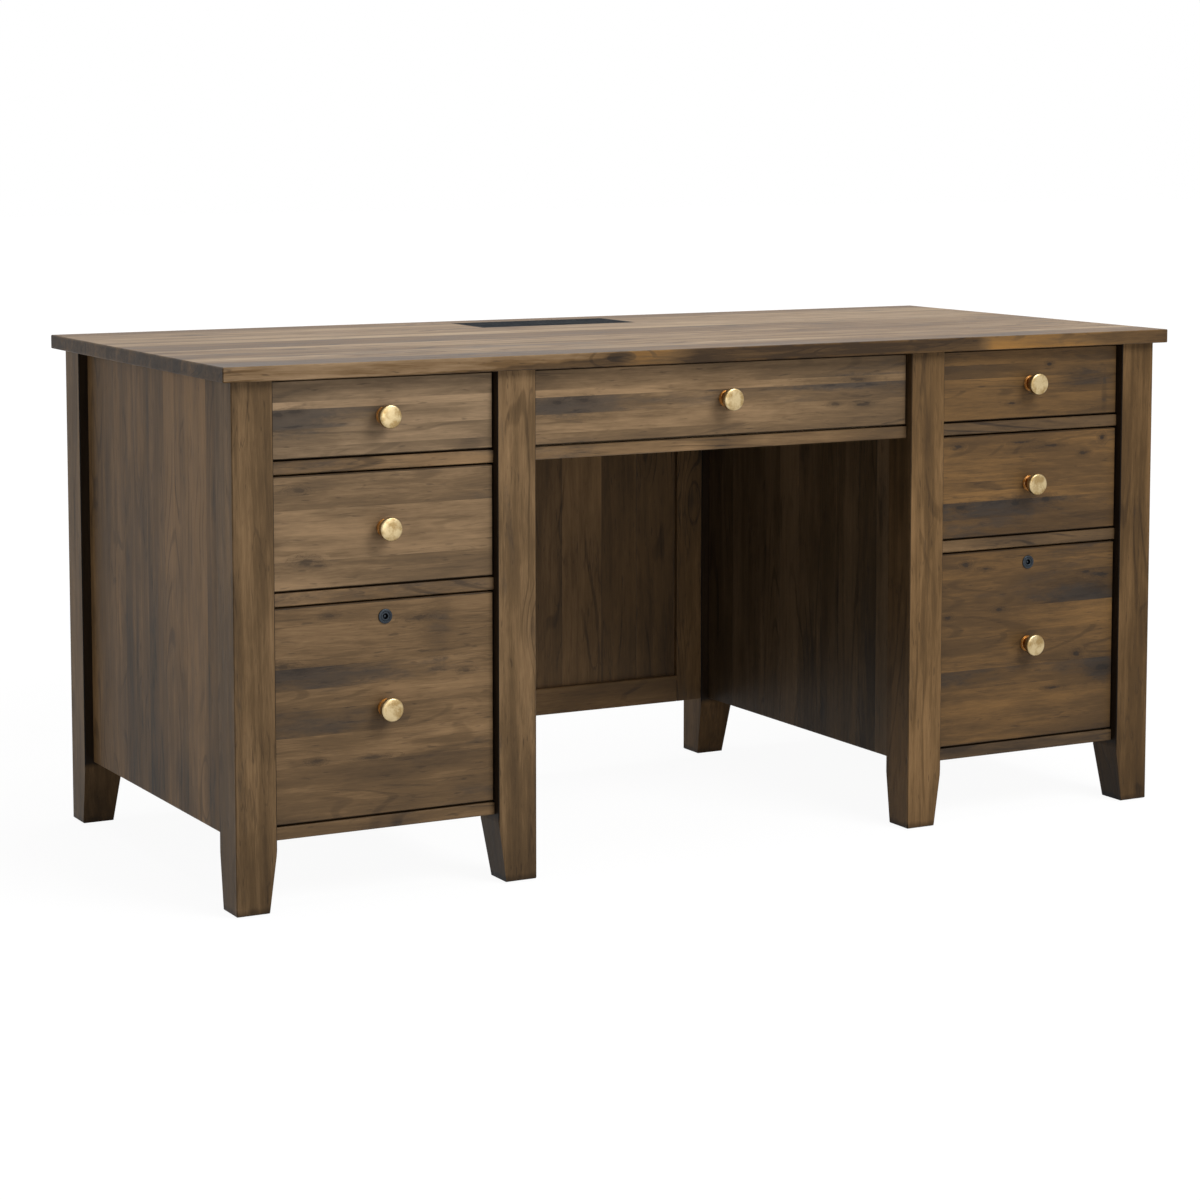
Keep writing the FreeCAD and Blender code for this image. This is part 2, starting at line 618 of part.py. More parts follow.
def knob(name, x, z):
    """A turned knob and the screw that holds it from inside the drawer."""
    hole = "(sizes.screw_radius + sizes.hole_clearance)"
    under_head = "(sizes.knob_projection - sizes.knob_head_thick)"
    flared = "(sizes.knob_base_thick + sizes.knob_flare)"
    handle = turned(f"knob_{name}_turned", [
        (hole, "0"),
        ("sizes.knob_base_radius", "0"),
        ("sizes.knob_base_radius", "sizes.knob_base_thick"),
        ("sizes.knob_neck_radius", flared),
        ("sizes.knob_neck_radius", under_head),
        ("(sizes.knob_head_radius - sizes.knob_bevel)", under_head),
        ("sizes.knob_head_radius", f"({under_head} + sizes.knob_bevel)"),
        ("sizes.knob_head_radius", "(sizes.knob_projection - sizes.knob_bevel)"),
        ("(sizes.knob_head_radius - sizes.knob_bevel)", "sizes.knob_projection"),
        ("0", "sizes.knob_projection"),
        ("0", "sizes.knob_screw_engagement"),
        (hole, "sizes.knob_screw_engagement"),
    ], x, FRONT_FACE, z)
    tip = "(sizes.front_thick + sizes.knob_screw_engagement - sizes.hole_clearance)"
    screw = turned(f"knob_{name}_screw", [
        ("0", "(-sizes.screw_head_thick)"),
        ("sizes.screw_head_radius", "(-sizes.screw_head_thick)"),
        ("sizes.screw_head_radius", "0"),
        ("sizes.screw_radius", "0"),
        ("sizes.screw_radius", tip),
        ("0", tip),
    ], x, FRONT_REAR, z)
    return group(f"knob_{name}_set", [handle, screw])


def lock(name, front, x):
    """A cam lock: its barrel and nut are fixed to the front, its plug turns with the cam."""
    bore_back(front, f"lock_hole_{name}", "sizes.lock_barrel_radius + sizes.hole_clearance",
              "2 * sizes.front_thick", x, f"{FRONT_FACE} - sizes.front_thick / 2", LOCK_HEIGHT)
    bore = "(sizes.lock_plug_radius + sizes.running_clearance)"
    tail = f"(-{LOCK_LENGTH})"
    barrel = turned(f"lock_{name}_barrel", [
        (bore, tail),
        ("sizes.lock_barrel_radius", tail),
        ("sizes.lock_barrel_radius", "0"),
        ("sizes.lock_bezel_radius", "0"),
        ("sizes.lock_bezel_radius", "(sizes.lock_bezel_thick - sizes.lock_bezel_bevel)"),
        ("(sizes.lock_bezel_radius - sizes.lock_bezel_bevel)", "sizes.lock_bezel_thick"),
        (bore, "sizes.lock_bezel_thick"),
    ], x, FRONT_FACE, LOCK_HEIGHT)
    nut = doc.addObject("PartDesign::Body", f"lock_{name}_nut")
    hexagon = nut.newObject("PartDesign::AdditivePrism", f"lock_{name}_hexagon")
    hexagon.Polygon = 6
    hexagon.setExpression("Circumradius", "sizes.lock_nut_radius")
    hexagon.setExpression("Height", "sizes.lock_nut_thick")
    add_round(nut, "Subtractive", f"lock_{name}_nut_hole", "sizes.lock_barrel_radius + sizes.hole_clearance",
              "3 * sizes.lock_nut_thick", ("0", "0", "-sizes.lock_nut_thick"), *ALONG_Z)
    nut.Placement = FreeCAD.Placement(FreeCAD.Vector(), FreeCAD.Rotation(FreeCAD.Vector(1, 0, 0), -90))
    place(nut, x, FRONT_REAR, LOCK_HEIGHT)
    node(f"lock_barrel_{name}", group(f"lock_{name}_fixed", [barrel, nut]))

    nose = "(sizes.lock_bezel_thick - sizes.lock_plug_setback)"
    cam_front = f"({tail} - sizes.cam_gap)"
    cam_back = f"({cam_front} - sizes.cam_thick)"
    plug = turned(f"lock_{name}_plug", [
        ("0", cam_back), ("sizes.lock_plug_radius", cam_back), ("sizes.lock_plug_radius", nose), ("0", nose),
    ], x, FRONT_FACE, LOCK_HEIGHT)
    half_cam = "(sizes.cam_width / 2)"
    size_block(plug.newObject("PartDesign::AdditiveBox", f"lock_{name}_cam"),
               ("(-sizes.cam_length)", half_cam), (f"(-{half_cam})", half_cam), (cam_back, cam_front))
    carve(plug, f"lock_{name}_keyway", ("(-sizes.keyway_width / 2)", "(sizes.keyway_width / 2)"),
          ("(-sizes.keyway_height / 2)", "(sizes.keyway_height / 2)"),
          (f"({nose} - sizes.keyway_depth)", f"({nose} + sizes.lock_bezel_thick)"))
    node(f"lock_plug_{name}", plug)


def drawers():
    """All seven drawers. Returns the fixed slide channels and the battens behind them."""
    heights = {
        "top": (SHALLOW_LOW, SHALLOW_TOP),
        "middle": (MIDDLE_LOW, MIDDLE_TOP),
        "file": (FILE_LOW, FILE_TOP),
    }
    channels, battens = drawer("centre", 0, heights["top"], "centre")
    for bay_name, side in SIDES:
        for kind, z in heights.items():
            fixed, backing = drawer(bay_name, side, z, f"{bay_name}_{kind}")
            channels += fixed
            battens += backing
    return channels, battens


def drawer(bay_name, side, z, name):
    """One drawer: front, knob, box and slides, and a lock on a file drawer."""
    files = name.endswith("file")
    prefix = "sizes.file_" if files else "sizes."
    opening = mirrored(side, BAY_INNER, BAY_OUTER) if side else (f"(-{KNEE})", KNEE)
    x = middle(opening)
    front_x = (f"({opening[0]} + sizes.front_side_gap)", f"({opening[1]} - sizes.front_side_gap)")
    front = board(f"front_{name}_body", front_x, FRONT_SPAN, z)
    bore_back(front, f"knob_hole_{name}", "sizes.screw_radius + sizes.hole_clearance",
              "2 * sizes.front_thick", x, f"{FRONT_FACE} - sizes.front_thick / 2", middle(z))
    if files:
        lock(bay_name, front, x)
    node(f"front_{name}", front)
    node(f"knob_{name}", knob(name, x, middle(z)))

    low = f"({z[0]} + sizes.box_lift)"
    end = f"({BACK_SPAN[0]} - {prefix}box_back_gap)"
    node(f"box_{name}", drawer_box(name, opening, low, f"({z[1]} - {prefix}box_top_margin)", end))
    slide_low = f"({low} + sizes.slide_lift)"
    slide_z = (slide_low, f"({slide_low} + {prefix}slide_height)")
    fixed, mids, runners = slides(name, opening, slide_z, end, files)
    node(f"runner_{name}", group(f"runners_{name}", runners))
    if files:
        node(f"slide_mid_{bay_name}", group(f"mids_{name}", mids))

    batten_z = (f"({slide_z[0]} - sizes.batten_margin)", f"({slide_z[1]} + sizes.batten_margin)")
    if side:
        spans = [mirrored(side, near, far) for _, near, far in BATTEN_BAYS]
    else:
        spans = [mirrored(hand, KNEE, f"({KNEE} + sizes.panel_recess)") for _, hand in SIDES]
    backing = [block(f"batten_{name}_{i}", span, BETWEEN_LEGS, batten_z) for i, span in enumerate(spans)]
    return fixed, backing


legs_and_glides()
pedestals()
modesty()
cleats = desktop_and_cleats()
cable_well()
fixed_channels, slide_battens = drawers()
node("slide_channels", group("channels", fixed_channels))
node("battens", group("batten_set", slide_battens + cleats))
doc.recompute()

for thing in doc.Objects:
    if {"Invalid", "Error"} & set(thing.State):
        raise RuntimeError(f"{thing.Label} did not compute: {thing.State}")
for thing in nodes:
    if thing.Shape.isNull() or not thing.Shape.isValid():
        raise RuntimeError(f"{thing.Label} has no valid shape")
os.makedirs("parts", exist_ok=True)
for thing in nodes:
    thing.Shape.exportStep(f"parts/{thing.Label}.step")
solids = sum(len(thing.Shape.Solids) for thing in nodes)
print(f"{len(nodes)} nodes, {solids} solids")
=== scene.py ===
# %% [markdown]
# # A weathered executive desk
# The desk's boards, drawers and locks come from the CAD model, which is loaded here as a fixed frame. Each of its
# nodes already has its place and its body. This lesson gives every node its finish, and makes the small pieces
# that CAD leaves plain: turned knobs, lock faces, screw heads, bristles and sockets.

# %% Load the frame
import math
import random

import bmesh
import bpy
from mathutils import Matrix, Vector


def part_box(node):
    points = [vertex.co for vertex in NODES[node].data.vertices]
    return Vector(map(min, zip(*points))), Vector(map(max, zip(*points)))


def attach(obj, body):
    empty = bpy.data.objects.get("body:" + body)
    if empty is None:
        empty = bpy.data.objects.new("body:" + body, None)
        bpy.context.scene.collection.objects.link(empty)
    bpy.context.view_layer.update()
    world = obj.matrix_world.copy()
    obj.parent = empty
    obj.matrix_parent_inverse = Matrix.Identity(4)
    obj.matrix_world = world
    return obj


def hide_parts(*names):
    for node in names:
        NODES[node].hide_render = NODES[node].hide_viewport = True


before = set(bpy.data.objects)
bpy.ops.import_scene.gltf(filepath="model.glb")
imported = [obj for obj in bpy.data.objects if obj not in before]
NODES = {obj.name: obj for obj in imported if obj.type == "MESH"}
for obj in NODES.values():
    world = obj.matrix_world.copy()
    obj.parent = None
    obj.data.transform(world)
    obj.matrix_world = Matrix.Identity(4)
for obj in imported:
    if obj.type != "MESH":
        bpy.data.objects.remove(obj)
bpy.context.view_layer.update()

MM = 0.001

# %% [markdown]
# ## The camera
# The desk was seen from the left, a little above its top, through a long lens. The back of the camera stayed nearly
# upright, so the legs stay parallel. A vertical shift does that: the camera tilts less than it looks down.

# %% Camera
LENS, SENSOR, SHIFT_X, SHIFT_Y = 90.73, 36, 0.0038, -0.15
EYE, TILT, TURN = (-2.28805, -4.15936, 1.08749), 5.59, 28.41


def link(name, data):
    """Puts a new object into the scene, at the origin."""
    made = bpy.data.objects.new(name, data)
    bpy.context.scene.collection.objects.link(made)
    return made


bpy.context.scene.view_settings.view_transform = "Standard"
camera_data = bpy.data.cameras.new("desk_camera")
camera_data.lens, camera_data.sensor_width, camera_data.clip_end = LENS, SENSOR, 60
camera_data.shift_x, camera_data.shift_y = SHIFT_X, SHIFT_Y
camera = link("desk_camera", camera_data)
camera.location = EYE
camera.rotation_euler = (math.radians(90 - TILT), 0, math.radians(-TURN))
bpy.context.scene.camera = camera
print("camera", LENS, "mm, shift", SHIFT_Y)

# %% [markdown]
# ## A short way to write node trees
# Shader groups, materials and geometry trees are all graphs of nodes. Two small classes keep each step on one line:
# a graph adds a node and returns its output as a wire, and a sum of wires, written with the usual signs, adds the Math
# nodes for it. A sum of vectors adds Vector Math nodes.

# %% Wires
class Wire:
    """A node's output that can be used in a sum."""

    def __init__(self, graph, socket):
        self.graph, self.socket = graph, socket

    def sum(self, operation, first, second=0.0):
        kind = "ShaderNodeMath"
        if self.socket.type == "VECTOR":
            kind = "ShaderNodeVectorMath"
            first, second = ((v, v, v) if isinstance(v, (int, float)) else v for v in (first, second))
        return self.graph.wire(kind, {0: first, 1: second}, operation=operation)

    def __add__(self, other):
        return self.sum("ADD", self, other)

    def __radd__(self, other):
        return self.sum("ADD", other, self)

    def __sub__(self, other):
        return self.sum("SUBTRACT", self, other)

    def __rsub__(self, other):
        return self.sum("SUBTRACT", other, self)

    def __mul__(self, other):
        return self.sum("MULTIPLY", self, other)

    def __truediv__(self, other):
        return self.sum("DIVIDE", self, other)

    def __abs__(self):
        return self.sum("ABSOLUTE", self)

    def clamp(self):
        """Keeps the result of a sum of values between 0 and 1."""
        self.socket.node.use_clamp = True
        return self


print("wires ready")

# %% [markdown]
# A graph holds one tree. Its node method takes any kind of node, and the shorter methods add those that the desk needs
# most: a soft fade, a blend of two colours, and noise that is stretched along the grain.

# %% Graphs
class Graph:
    """A node tree in the making."""

    def __init__(self, tree):
        self.tree = tree

    def feed(self, node, inputs):
        """Wires or sets a node's inputs, by their names or numbers."""
        for key, value in inputs.items():
            if isinstance(value, Wire):
                self.tree.links.new(value.socket, node.inputs[key])
            else:
                node.inputs[key].default_value = value
        return node

    def node(self, kind, inputs=(), **settings):
        made = self.tree.nodes.new(kind)
        for name, value in settings.items():
            setattr(made, name, value)
        return self.feed(made, dict(inputs))

    def wire(self, kind, inputs=(), output=0, **settings):
        """Adds a node and returns one of its outputs."""
        return Wire(self, self.node(kind, inputs, **settings).outputs[output])

    def wires(self, kind, inputs=(), **settings):
        """Adds a node and returns its outputs by their names."""
        return {out.name: Wire(self, out) for out in self.node(kind, inputs, **settings).outputs}

    def group(self, group, inputs):
        return self.wires("ShaderNodeGroup", inputs, node_tree=group.tree)

    def coordinate(self, name):
        return self.wire("ShaderNodeTexCoord", output=name)

    def join(self, x, y, z):
        return self.wire("ShaderNodeCombineXYZ", {0: x, 1: y, 2: z})

    def split(self, vector):
        return list(self.wires("ShaderNodeSeparateXYZ", {0: vector}).values())

    def math(self, operation, first, second=0.0):
        return self.wire("ShaderNodeMath", {0: first, 1: second}, operation=operation)

    def largest(self, first, *others):
        for other in others:
            first = self.math("MAXIMUM", first, other)
        return first

    def smallest(self, first, *others):
        for other in others:
            first = self.math("MINIMUM", first, other)
        return first

    def fade(self, value, low, high, start=0.0, end=1.0, kind="SMOOTHSTEP"):
        """Goes softly from start to end while a value goes from low to high, and stays there."""
        ins = {"Value": value, "From Min": low, "From Max": high, "To Min": start, "To Max": end}
        return self.wire("ShaderNodeMapRange", ins, interpolation_type=kind)

    def share(self, value, low, high):
        """How far a value has come from low to high, 0 to 1."""
        return self.fade(value, low, high, kind="LINEAR")

    def mix(self, factor, first, second):
        """A blend of two colours. The node itself keeps its factor between 0 and 1."""
        return self.wire("ShaderNodeMix", {0: factor, 6: first, 7: second}, 2, data_type="RGBA")

    def noise(self, place, scale, detail=2.0, roughness=0.5, distortion=0.0):
        """Soft noise round a half, over a place that is scaled by one value or by three."""
        ins = {"Vector": place * scale, "Scale": 1.0, "Detail": detail, "Roughness": roughness,
               "Distortion": distortion}
        return self.wire("ShaderNodeTexNoise", ins)


print("graphs ready")

# %% [markdown]
# A node group serves many materials, so its sockets get names. A material keeps its own Principled shader, because an
# export looks for it there. Colours are written as they are read from a screen, and turned into the linear values that
# shaders work with.

# %% Groups, materials and colours
SOCKETS = {"vector": "NodeSocketVector", "colour": "NodeSocketColor", "value": "NodeSocketFloat",
           "whole": "NodeSocketInt", "geometry": "NodeSocketGeometry", "material": "NodeSocketMaterial"}


def new_group(name, kind, inputs, outputs):
    """A node group with named sockets. Returns its graph, its inputs by name and a function that wires its outputs."""
    tree = bpy.data.node_groups.new(name, kind)
    for direction, rows in (("INPUT", inputs), ("OUTPUT", outputs)):
        for label, sort, *start in rows:
            socket = tree.interface.new_socket(label, in_out=direction, socket_type=SOCKETS[sort])
            if start:
                socket.default_value = start[0]
    graph = Graph(tree)
    source, target = graph.wires("NodeGroupInput"), graph.node("NodeGroupOutput")

    def give(**values):
        graph.feed(target, values)
    return graph, source, give


def new_material(name):
    """A material with a Principled shader. Returns its graph and a function that wires the shader.

    A relief is a height, the strength of its bump and the depth that it stands for.
    """
    material = bpy.data.materials.new(name)
    material.use_nodes = True
    graph = Graph(material.node_tree)
    shader = material.node_tree.nodes["Principled BSDF"]

    def finish(tint, rough, shine=0.5, metallic=0.0, relief=None):
        graph.feed(shader, {"Base Color": tint, "Roughness": rough, "Specular IOR Level": shine, "Metallic": metallic})
        if relief:
            ins = dict(zip(("Height", "Strength", "Distance"), relief))
            graph.feed(shader, {"Normal": graph.wire("ShaderNodeBump", ins)})
        return material
    return graph, finish


def colour(red, green, blue):
    """A colour as an eye reads it on a screen, 0 to 255, in the linear values that shaders use."""
    def linear(value):
        value /= 255
        return value / 12.92 if value <= 0.04045 else ((value + 0.055) / 1.055) ** 2.4
    return (linear(red), linear(green), linear(blue), 1.0)


print("socket kinds", len(SOCKETS))

# %% [markdown]
# ## Weathered wood
# The desk is made of narrow boards of one kind of wood that was stained brown and rubbed back. Along the grain there
# are soft clouds and streaks, thin growth lines that bend round small knots, dark flecks and cracks, and slate-coloured
# weathered patches. A photograph could carry all of that, but it would stretch on the end of a board and repeat. A
# solid procedural wood runs through the board instead, so that its faces agree at each edge.

# %% The wood group: knots and growth lines
WOOD_COLOURS = {"Dark brown": (54, 41, 28), "Brown": (101, 77, 49), "Tan": (150, 117, 79), "Slate grey": (60, 52, 45)}
wood_group, ins, give = new_group("Weathered wood", "ShaderNodeTree", [
    ("Vector", "vector"), ("Tone", "value", 0.5), ("Slate", "value", 0.3), ("Heart", "value", 0.0),
    ("Swell", "value", 0.0), ("Clouds", "value", 1.0), ("Streaks", "value", 0.35), ("Figure", "value", 1.0),
    ("Knots", "value", 0.5), ("Wear", "value", 0.0), ("Grime", "value", 0.0),
] + [(label, "colour", colour(*shade)) for label, shade in WOOD_COLOURS.items()],
    [("Color", "colour"), ("Roughness", "value"), ("Height", "value")])
g = wood_group
place = ins["Vector"]
sway = (g.noise(place, (1.4, 5, 5), 1.0) - 0.5) * 0.024
wriggle = (g.noise(place, (11, 30, 30)) - 0.5) * 0.006
bent = place + g.join(0.0, sway + wriggle, sway - wriggle)

cells = g.wires("ShaderNodeTexVoronoi", {"Vector": bent * (5.5, 15, 15), "Scale": 1.0, "Randomness": 0.9})
knot_here = g.fade(g.split(cells["Color"])[0], 0.5, 0.55) * ins["Knots"]
swell = g.largest(g.fade(cells["Distance"], 0.45, 0.06) * knot_here, ins["Swell"])
heart = g.largest(g.fade(cells["Distance"], 0.16, 0.05) * knot_here, ins["Heart"])

phase = g.noise(bent, (1.1, 9, 9), 1.5, 0.45) * 120.0 + swell * 17.0
line_zone = g.fade(g.noise(bent, (4, 16, 16)), 0.46, 0.62)
lines = g.fade(g.math("SINE", phase), 0.6, 0.98) * (line_zone + swell).clamp()
ridge = g.noise(bent, (5, 50, 50), 3.0, 0.5, 0.2)
crack_zone = g.fade(g.noise(place, (6, 15, 15), 1.5), 0.5, 0.62)
cracks = g.fade(abs(ridge - 0.5), 0.02, 0.002) * (crack_zone + swell).clamp()
print("knots and lines", len(g.tree.nodes), "nodes")

# %% [markdown]
# Layers of noise, from broad clouds down to single fibres, move the tone between dark brown, brown and tan. Masks then
# lay the grey patches, dark flecks, worn corners, dirt and the painted shade of the legs over it, one after the other.
# A list of masks and colours keeps their order easy to see and to change.

# %% The wood group: tone, colour and relief
clouds = g.noise(bent, (2.6, 12, 12), 2.5)
mottle = g.noise(bent, (8, 38, 38), 4.5, 0.6, 0.2)
streaks = g.noise(bent, (1.6, 60, 60), 3.0, 0.55)
threads = g.noise(bent, (9, 190, 190), 3.0, 0.6)
fibres = g.noise(bent, (40, 620, 620), 2.0, 0.6)
flecks = g.fade(g.noise(bent, (36, 250, 250), 1.5), 0.65, 0.76)
patch_low = 0.68 - ins["Slate"] * 0.34
patches = g.fade(g.noise(bent, (4.6, 25, 25), 6.0, 0.72, 0.2), patch_low, patch_low + 0.22)
blots = g.fade(g.noise(bent, (15, 85, 85), 4.0, 0.7, 0.3), 0.53, 0.66)

tone = ins["Tone"]
for pattern, amount in ((clouds, ins["Clouds"] * 0.95), (mottle, ins["Clouds"] * 0.65), (streaks, ins["Streaks"]),
                        (threads, 0.4), (fibres, 0.3)):
    tone = tone + (pattern - 0.5) * amount
tone = tone - lines * ins["Figure"] * 0.3
tint = g.mix(tone * 2.0, ins["Dark brown"], ins["Brown"])
for mask, shade in ((tone * 2.0 - 1.0, ins["Tan"]),
                    (patches * (threads * 0.8 + 0.3), ins["Slate grey"]),
                    (blots * patches * 0.55, colour(32, 28, 26)),
                    (swell * (mottle * 1.1 - 0.15), ins["Dark brown"]),
                    (cracks * ins["Figure"] * 0.4, colour(38, 31, 25)),
                    (heart * 0.85, colour(30, 26, 23)),
                    (flecks * 0.42, colour(36, 29, 23)),
                    (ins["Wear"] * 0.4, ins["Tan"]),
                    # dirt along the rims, and painted shade on the legs' inner faces
                    (ins["Grime"], colour(20, 15, 11))):
    tint = g.mix(mask, tint, shade)
give(Color=tint, Roughness=threads * 0.2 + patches * 0.06 + 0.36,
     Height=fibres * 0.45 - lines * 0.25 - g.largest(flecks, cracks) * 0.6)
print("wood group", len(g.tree.nodes), "nodes")

# %% [markdown]
# A panel is glued up from staves of different widths. A one-dimensional cell pattern across the grain gives each
# stave its own tone and moves the wood pattern along, so that no figure crosses a joint.

# %% The stave group
stave_group, ins, give = new_group("Staves", "ShaderNodeTree", [
    ("Vector", "vector"), ("Width", "value", 0.06), ("Seed", "value", 0.0), ("Middle", "value", 0.5),
    ("Spread", "value", 0.4),
], [("Vector", "vector"), ("Tone", "value"), ("Slate", "value"), ("Joint", "value")])
g = stave_group
count = g.split(ins["Vector"])[1] / ins["Width"] + ins["Seed"]
pattern = {"W": count, "Scale": 1.0, "Randomness": 0.75}
cells = g.wires("ShaderNodeTexVoronoi", pattern, voronoi_dimensions="1D")
edges = g.wires("ShaderNodeTexVoronoi", pattern, voronoi_dimensions="1D", feature="DISTANCE_TO_EDGE")
red, green, blue = g.split(cells["Color"])
give(Vector=ins["Vector"] + g.join(green * 7.0, 0.0, blue * 5.0), Tone=ins["Middle"] + (red - 0.5) * ins["Spread"],
     Slate=g.fade(green, 0.35, 0.95), Joint=g.fade(edges["Distance"] * ins["Width"], 0.7 * MM, 0.2 * MM))
print("stave group", len(g.tree.nodes), "nodes")

# %% [markdown]
# Corners get rubbed pale, and dirt gathers along the rim of a front. The distance of a point from the nearest edge of
# its board is the second smallest of its distances from the board's faces, so two corners are all the masks need.

# %% The worn edge group
edge_group, ins, give = new_group("Worn edges", "ShaderNodeTree", [
    ("Vector", "vector"), ("Low corner", "vector"), ("High corner", "vector"), ("Reach", "value", 4 * MM),
], [("Wear", "value"), ("Dirt", "value")])
g = edge_group
from_low, from_high = g.split(ins["Vector"] - ins["Low corner"]), g.split(ins["High corner"] - ins["Vector"])
inset = [g.smallest(*pair) for pair in zip(from_low, from_high)]
second = inset[0] + inset[1] + inset[2] - g.smallest(*inset) - g.largest(*inset)
rub = g.noise(ins["Vector"], 22, 3.0, 0.6)
give(Wear=(1.0 - second / ins["Reach"]).clamp() * g.fade(rub, 0.4, 0.62),
     Dirt=g.fade(second + rub * MM, 2.4 * MM, 1.2 * MM))
print("worn edge group", len(g.tree.nodes), "nodes")

# %% [markdown]
# The knots and stains that give a front its character lie where a branch grew or water stood, so they are placed one
# by one. A mark is an ellipse with a wavering outline: its core is the knot's heart, and its halo bends the growth
# lines round it or spreads a stain.

# %% The mark group
mark_group, ins, give = new_group("Mark", "ShaderNodeTree", [
    ("Vector", "vector"), ("Centre", "vector"), ("Length", "value", 10 * MM), ("Height", "value", 4 * MM),
], [("Core", "value"), ("Halo", "value")])
g = mark_group
away = g.split(ins["Vector"] - ins["Centre"])
along, up = away[0] / ins["Length"], away[2] / ins["Height"]
waver = g.noise(ins["Vector"], (100, 100, 220), 3.0, 0.65) - 0.5
reach = g.math("SQRT", along * along + up * up) + waver * 1.9
give(Core=g.fade(reach, 0.95, 0.45), Halo=g.fade(reach, 2.6, 0.5))
print("mark group", len(g.tree.nodes), "nodes")

# %% [markdown]
# The wood's colours are made lighter, darker or greyer by piece, and on the panels in the kneehole that darkening is
# painted shade. Where a face is glued up from boards that are known one by one, a colour ramp with hard steps gives
# each its tone and weathering, and a second ramp does so for the boards' other ends.

# %% Stains, boards and marks
def stain(level=1.0, grey=0.0, **changed):
    """The wood's colours, made lighter or darker by a level, and greyer by a share."""
    made = {}
    for label, shade in WOOD_COLOURS.items():
        shade = changed.get(label.lower().replace(" ", "_"), shade)
        middle = sum(shade) / 3
        made[label] = colour(*(level * (part + (middle - part) * grey) for part in shade))
    return made


def ramp(graph, value, stops, kind="LINEAR"):
    """A colour that carries up to three values. Each stop is a place and its values."""
    made = graph.node("ShaderNodeValToRGB", {"Fac": value})
    made.color_ramp.interpolation = kind
    elements = made.color_ramp.elements
    while len(elements) < len(stops):
        elements.new(1.0)
    for element, (place, *values) in zip(elements, stops):
        element.position = place
        element.color = (values + [0.0, 0.0, 0.0])[:3] + [1.0]
    return Wire(graph, made.outputs["Color"])


def boards_from_list(graph, here, across, boards):
    """Tone, slate and a shift for a face made of boards. Each row is a share of the width, then both at the two ends.

    Across is the axis that the shares run along with its start and end, then the same for the boards' length.
    """
    axis, start, end, length_axis, first, last = across
    point = graph.split(here)
    along = graph.fade(point[length_axis], first, last) + (graph.noise(here, (3, 9, 9)) - 0.5) * 0.9
    rise = graph.share(point[axis], start, end)
    ends = []
    for side in (1, 2):
        stops, at = [], 0.0
        for number, board in enumerate(boards):
            stops.append((at, *board[side], number * 0.37 % 1.0))
            at += board[0]
        ends.append(ramp(graph, rise, stops, "CONSTANT"))
    return graph.split(graph.mix(along, *ends))


def place_marks(graph, here, box, marks):
    """The largest core and halo of marks: share from the left, share from the top, length, height in mm."""
    low, high = box
    placed = []
    for across, down, length, height in marks:
        centre = (low.x + across * (high.x - low.x), 0.0, high.z - down * (high.z - low.z))
        placed.append(graph.group(mark_group, {"Vector": here, "Centre": centre, "Length": length * MM / 2,
                                               "Height": height * MM / 2}))
    return [graph.largest(*(mark[part] for mark in placed)) for part in ("Core", "Halo")]


def looks_along(graph, axis, sign):
    """A mask of the faces that look along a signed axis."""
    return graph.fade(graph.split(graph.coordinate("Normal"))[axis] * sign, 0.55, 0.75)


def leg_shade(graph, here, bay, depth, knee):
    """How dark a leg is painted: darker towards the floor, then painted shade on its faces into the bay, into the
    pedestal's depth and towards the kneehole.
    """
    height = graph.split(here)[2]
    wavering_height = height + graph.noise(here, (60, 60, 20)) * 0.012
    dark = graph.fade(height, 0.14, 0.0, 0.0, 0.2) + graph.fade(wavering_height, 0.02, 0.01, 0.0, 0.4)
    # painted shade on the faces that look into the bay, into the pedestal's depth and towards the kneehole
    dark += looks_along(graph, 0, bay) * graph.fade(height, 0.09, 0.1, 0.5, 0.9)
    dark += looks_along(graph, 1, depth) * graph.fade(height, 0.09, 0.1, 0.0, 0.9)
    if knee:
        dark += looks_along(graph, 0, -bay) * graph.fade(height, 0.05, 0.3, 0.2, 0.5)
    return dark


print("wood colours", len(stain()))

# %% [markdown]
# Each wooden node gets a material of its own from one function. The Mapping node turns the pattern so that its grain
# runs along the board, and a random step moves it so that two boards never show the same figure.

# %% Wood materials
ALONG_X = (0.0, 0.0, 0.0)
ALONG_Y = (0.0, 0.0, math.radians(-90))
UPRIGHT_ACROSS_Y = (0.0, math.radians(90), 0.0)
UPRIGHT_ACROSS_X = (math.radians(90), 0.0, math.radians(90))
GRAIN_RELIEF, GRAIN_DEPTH = 0.35, 0.6 * MM
draw = random.Random(7)


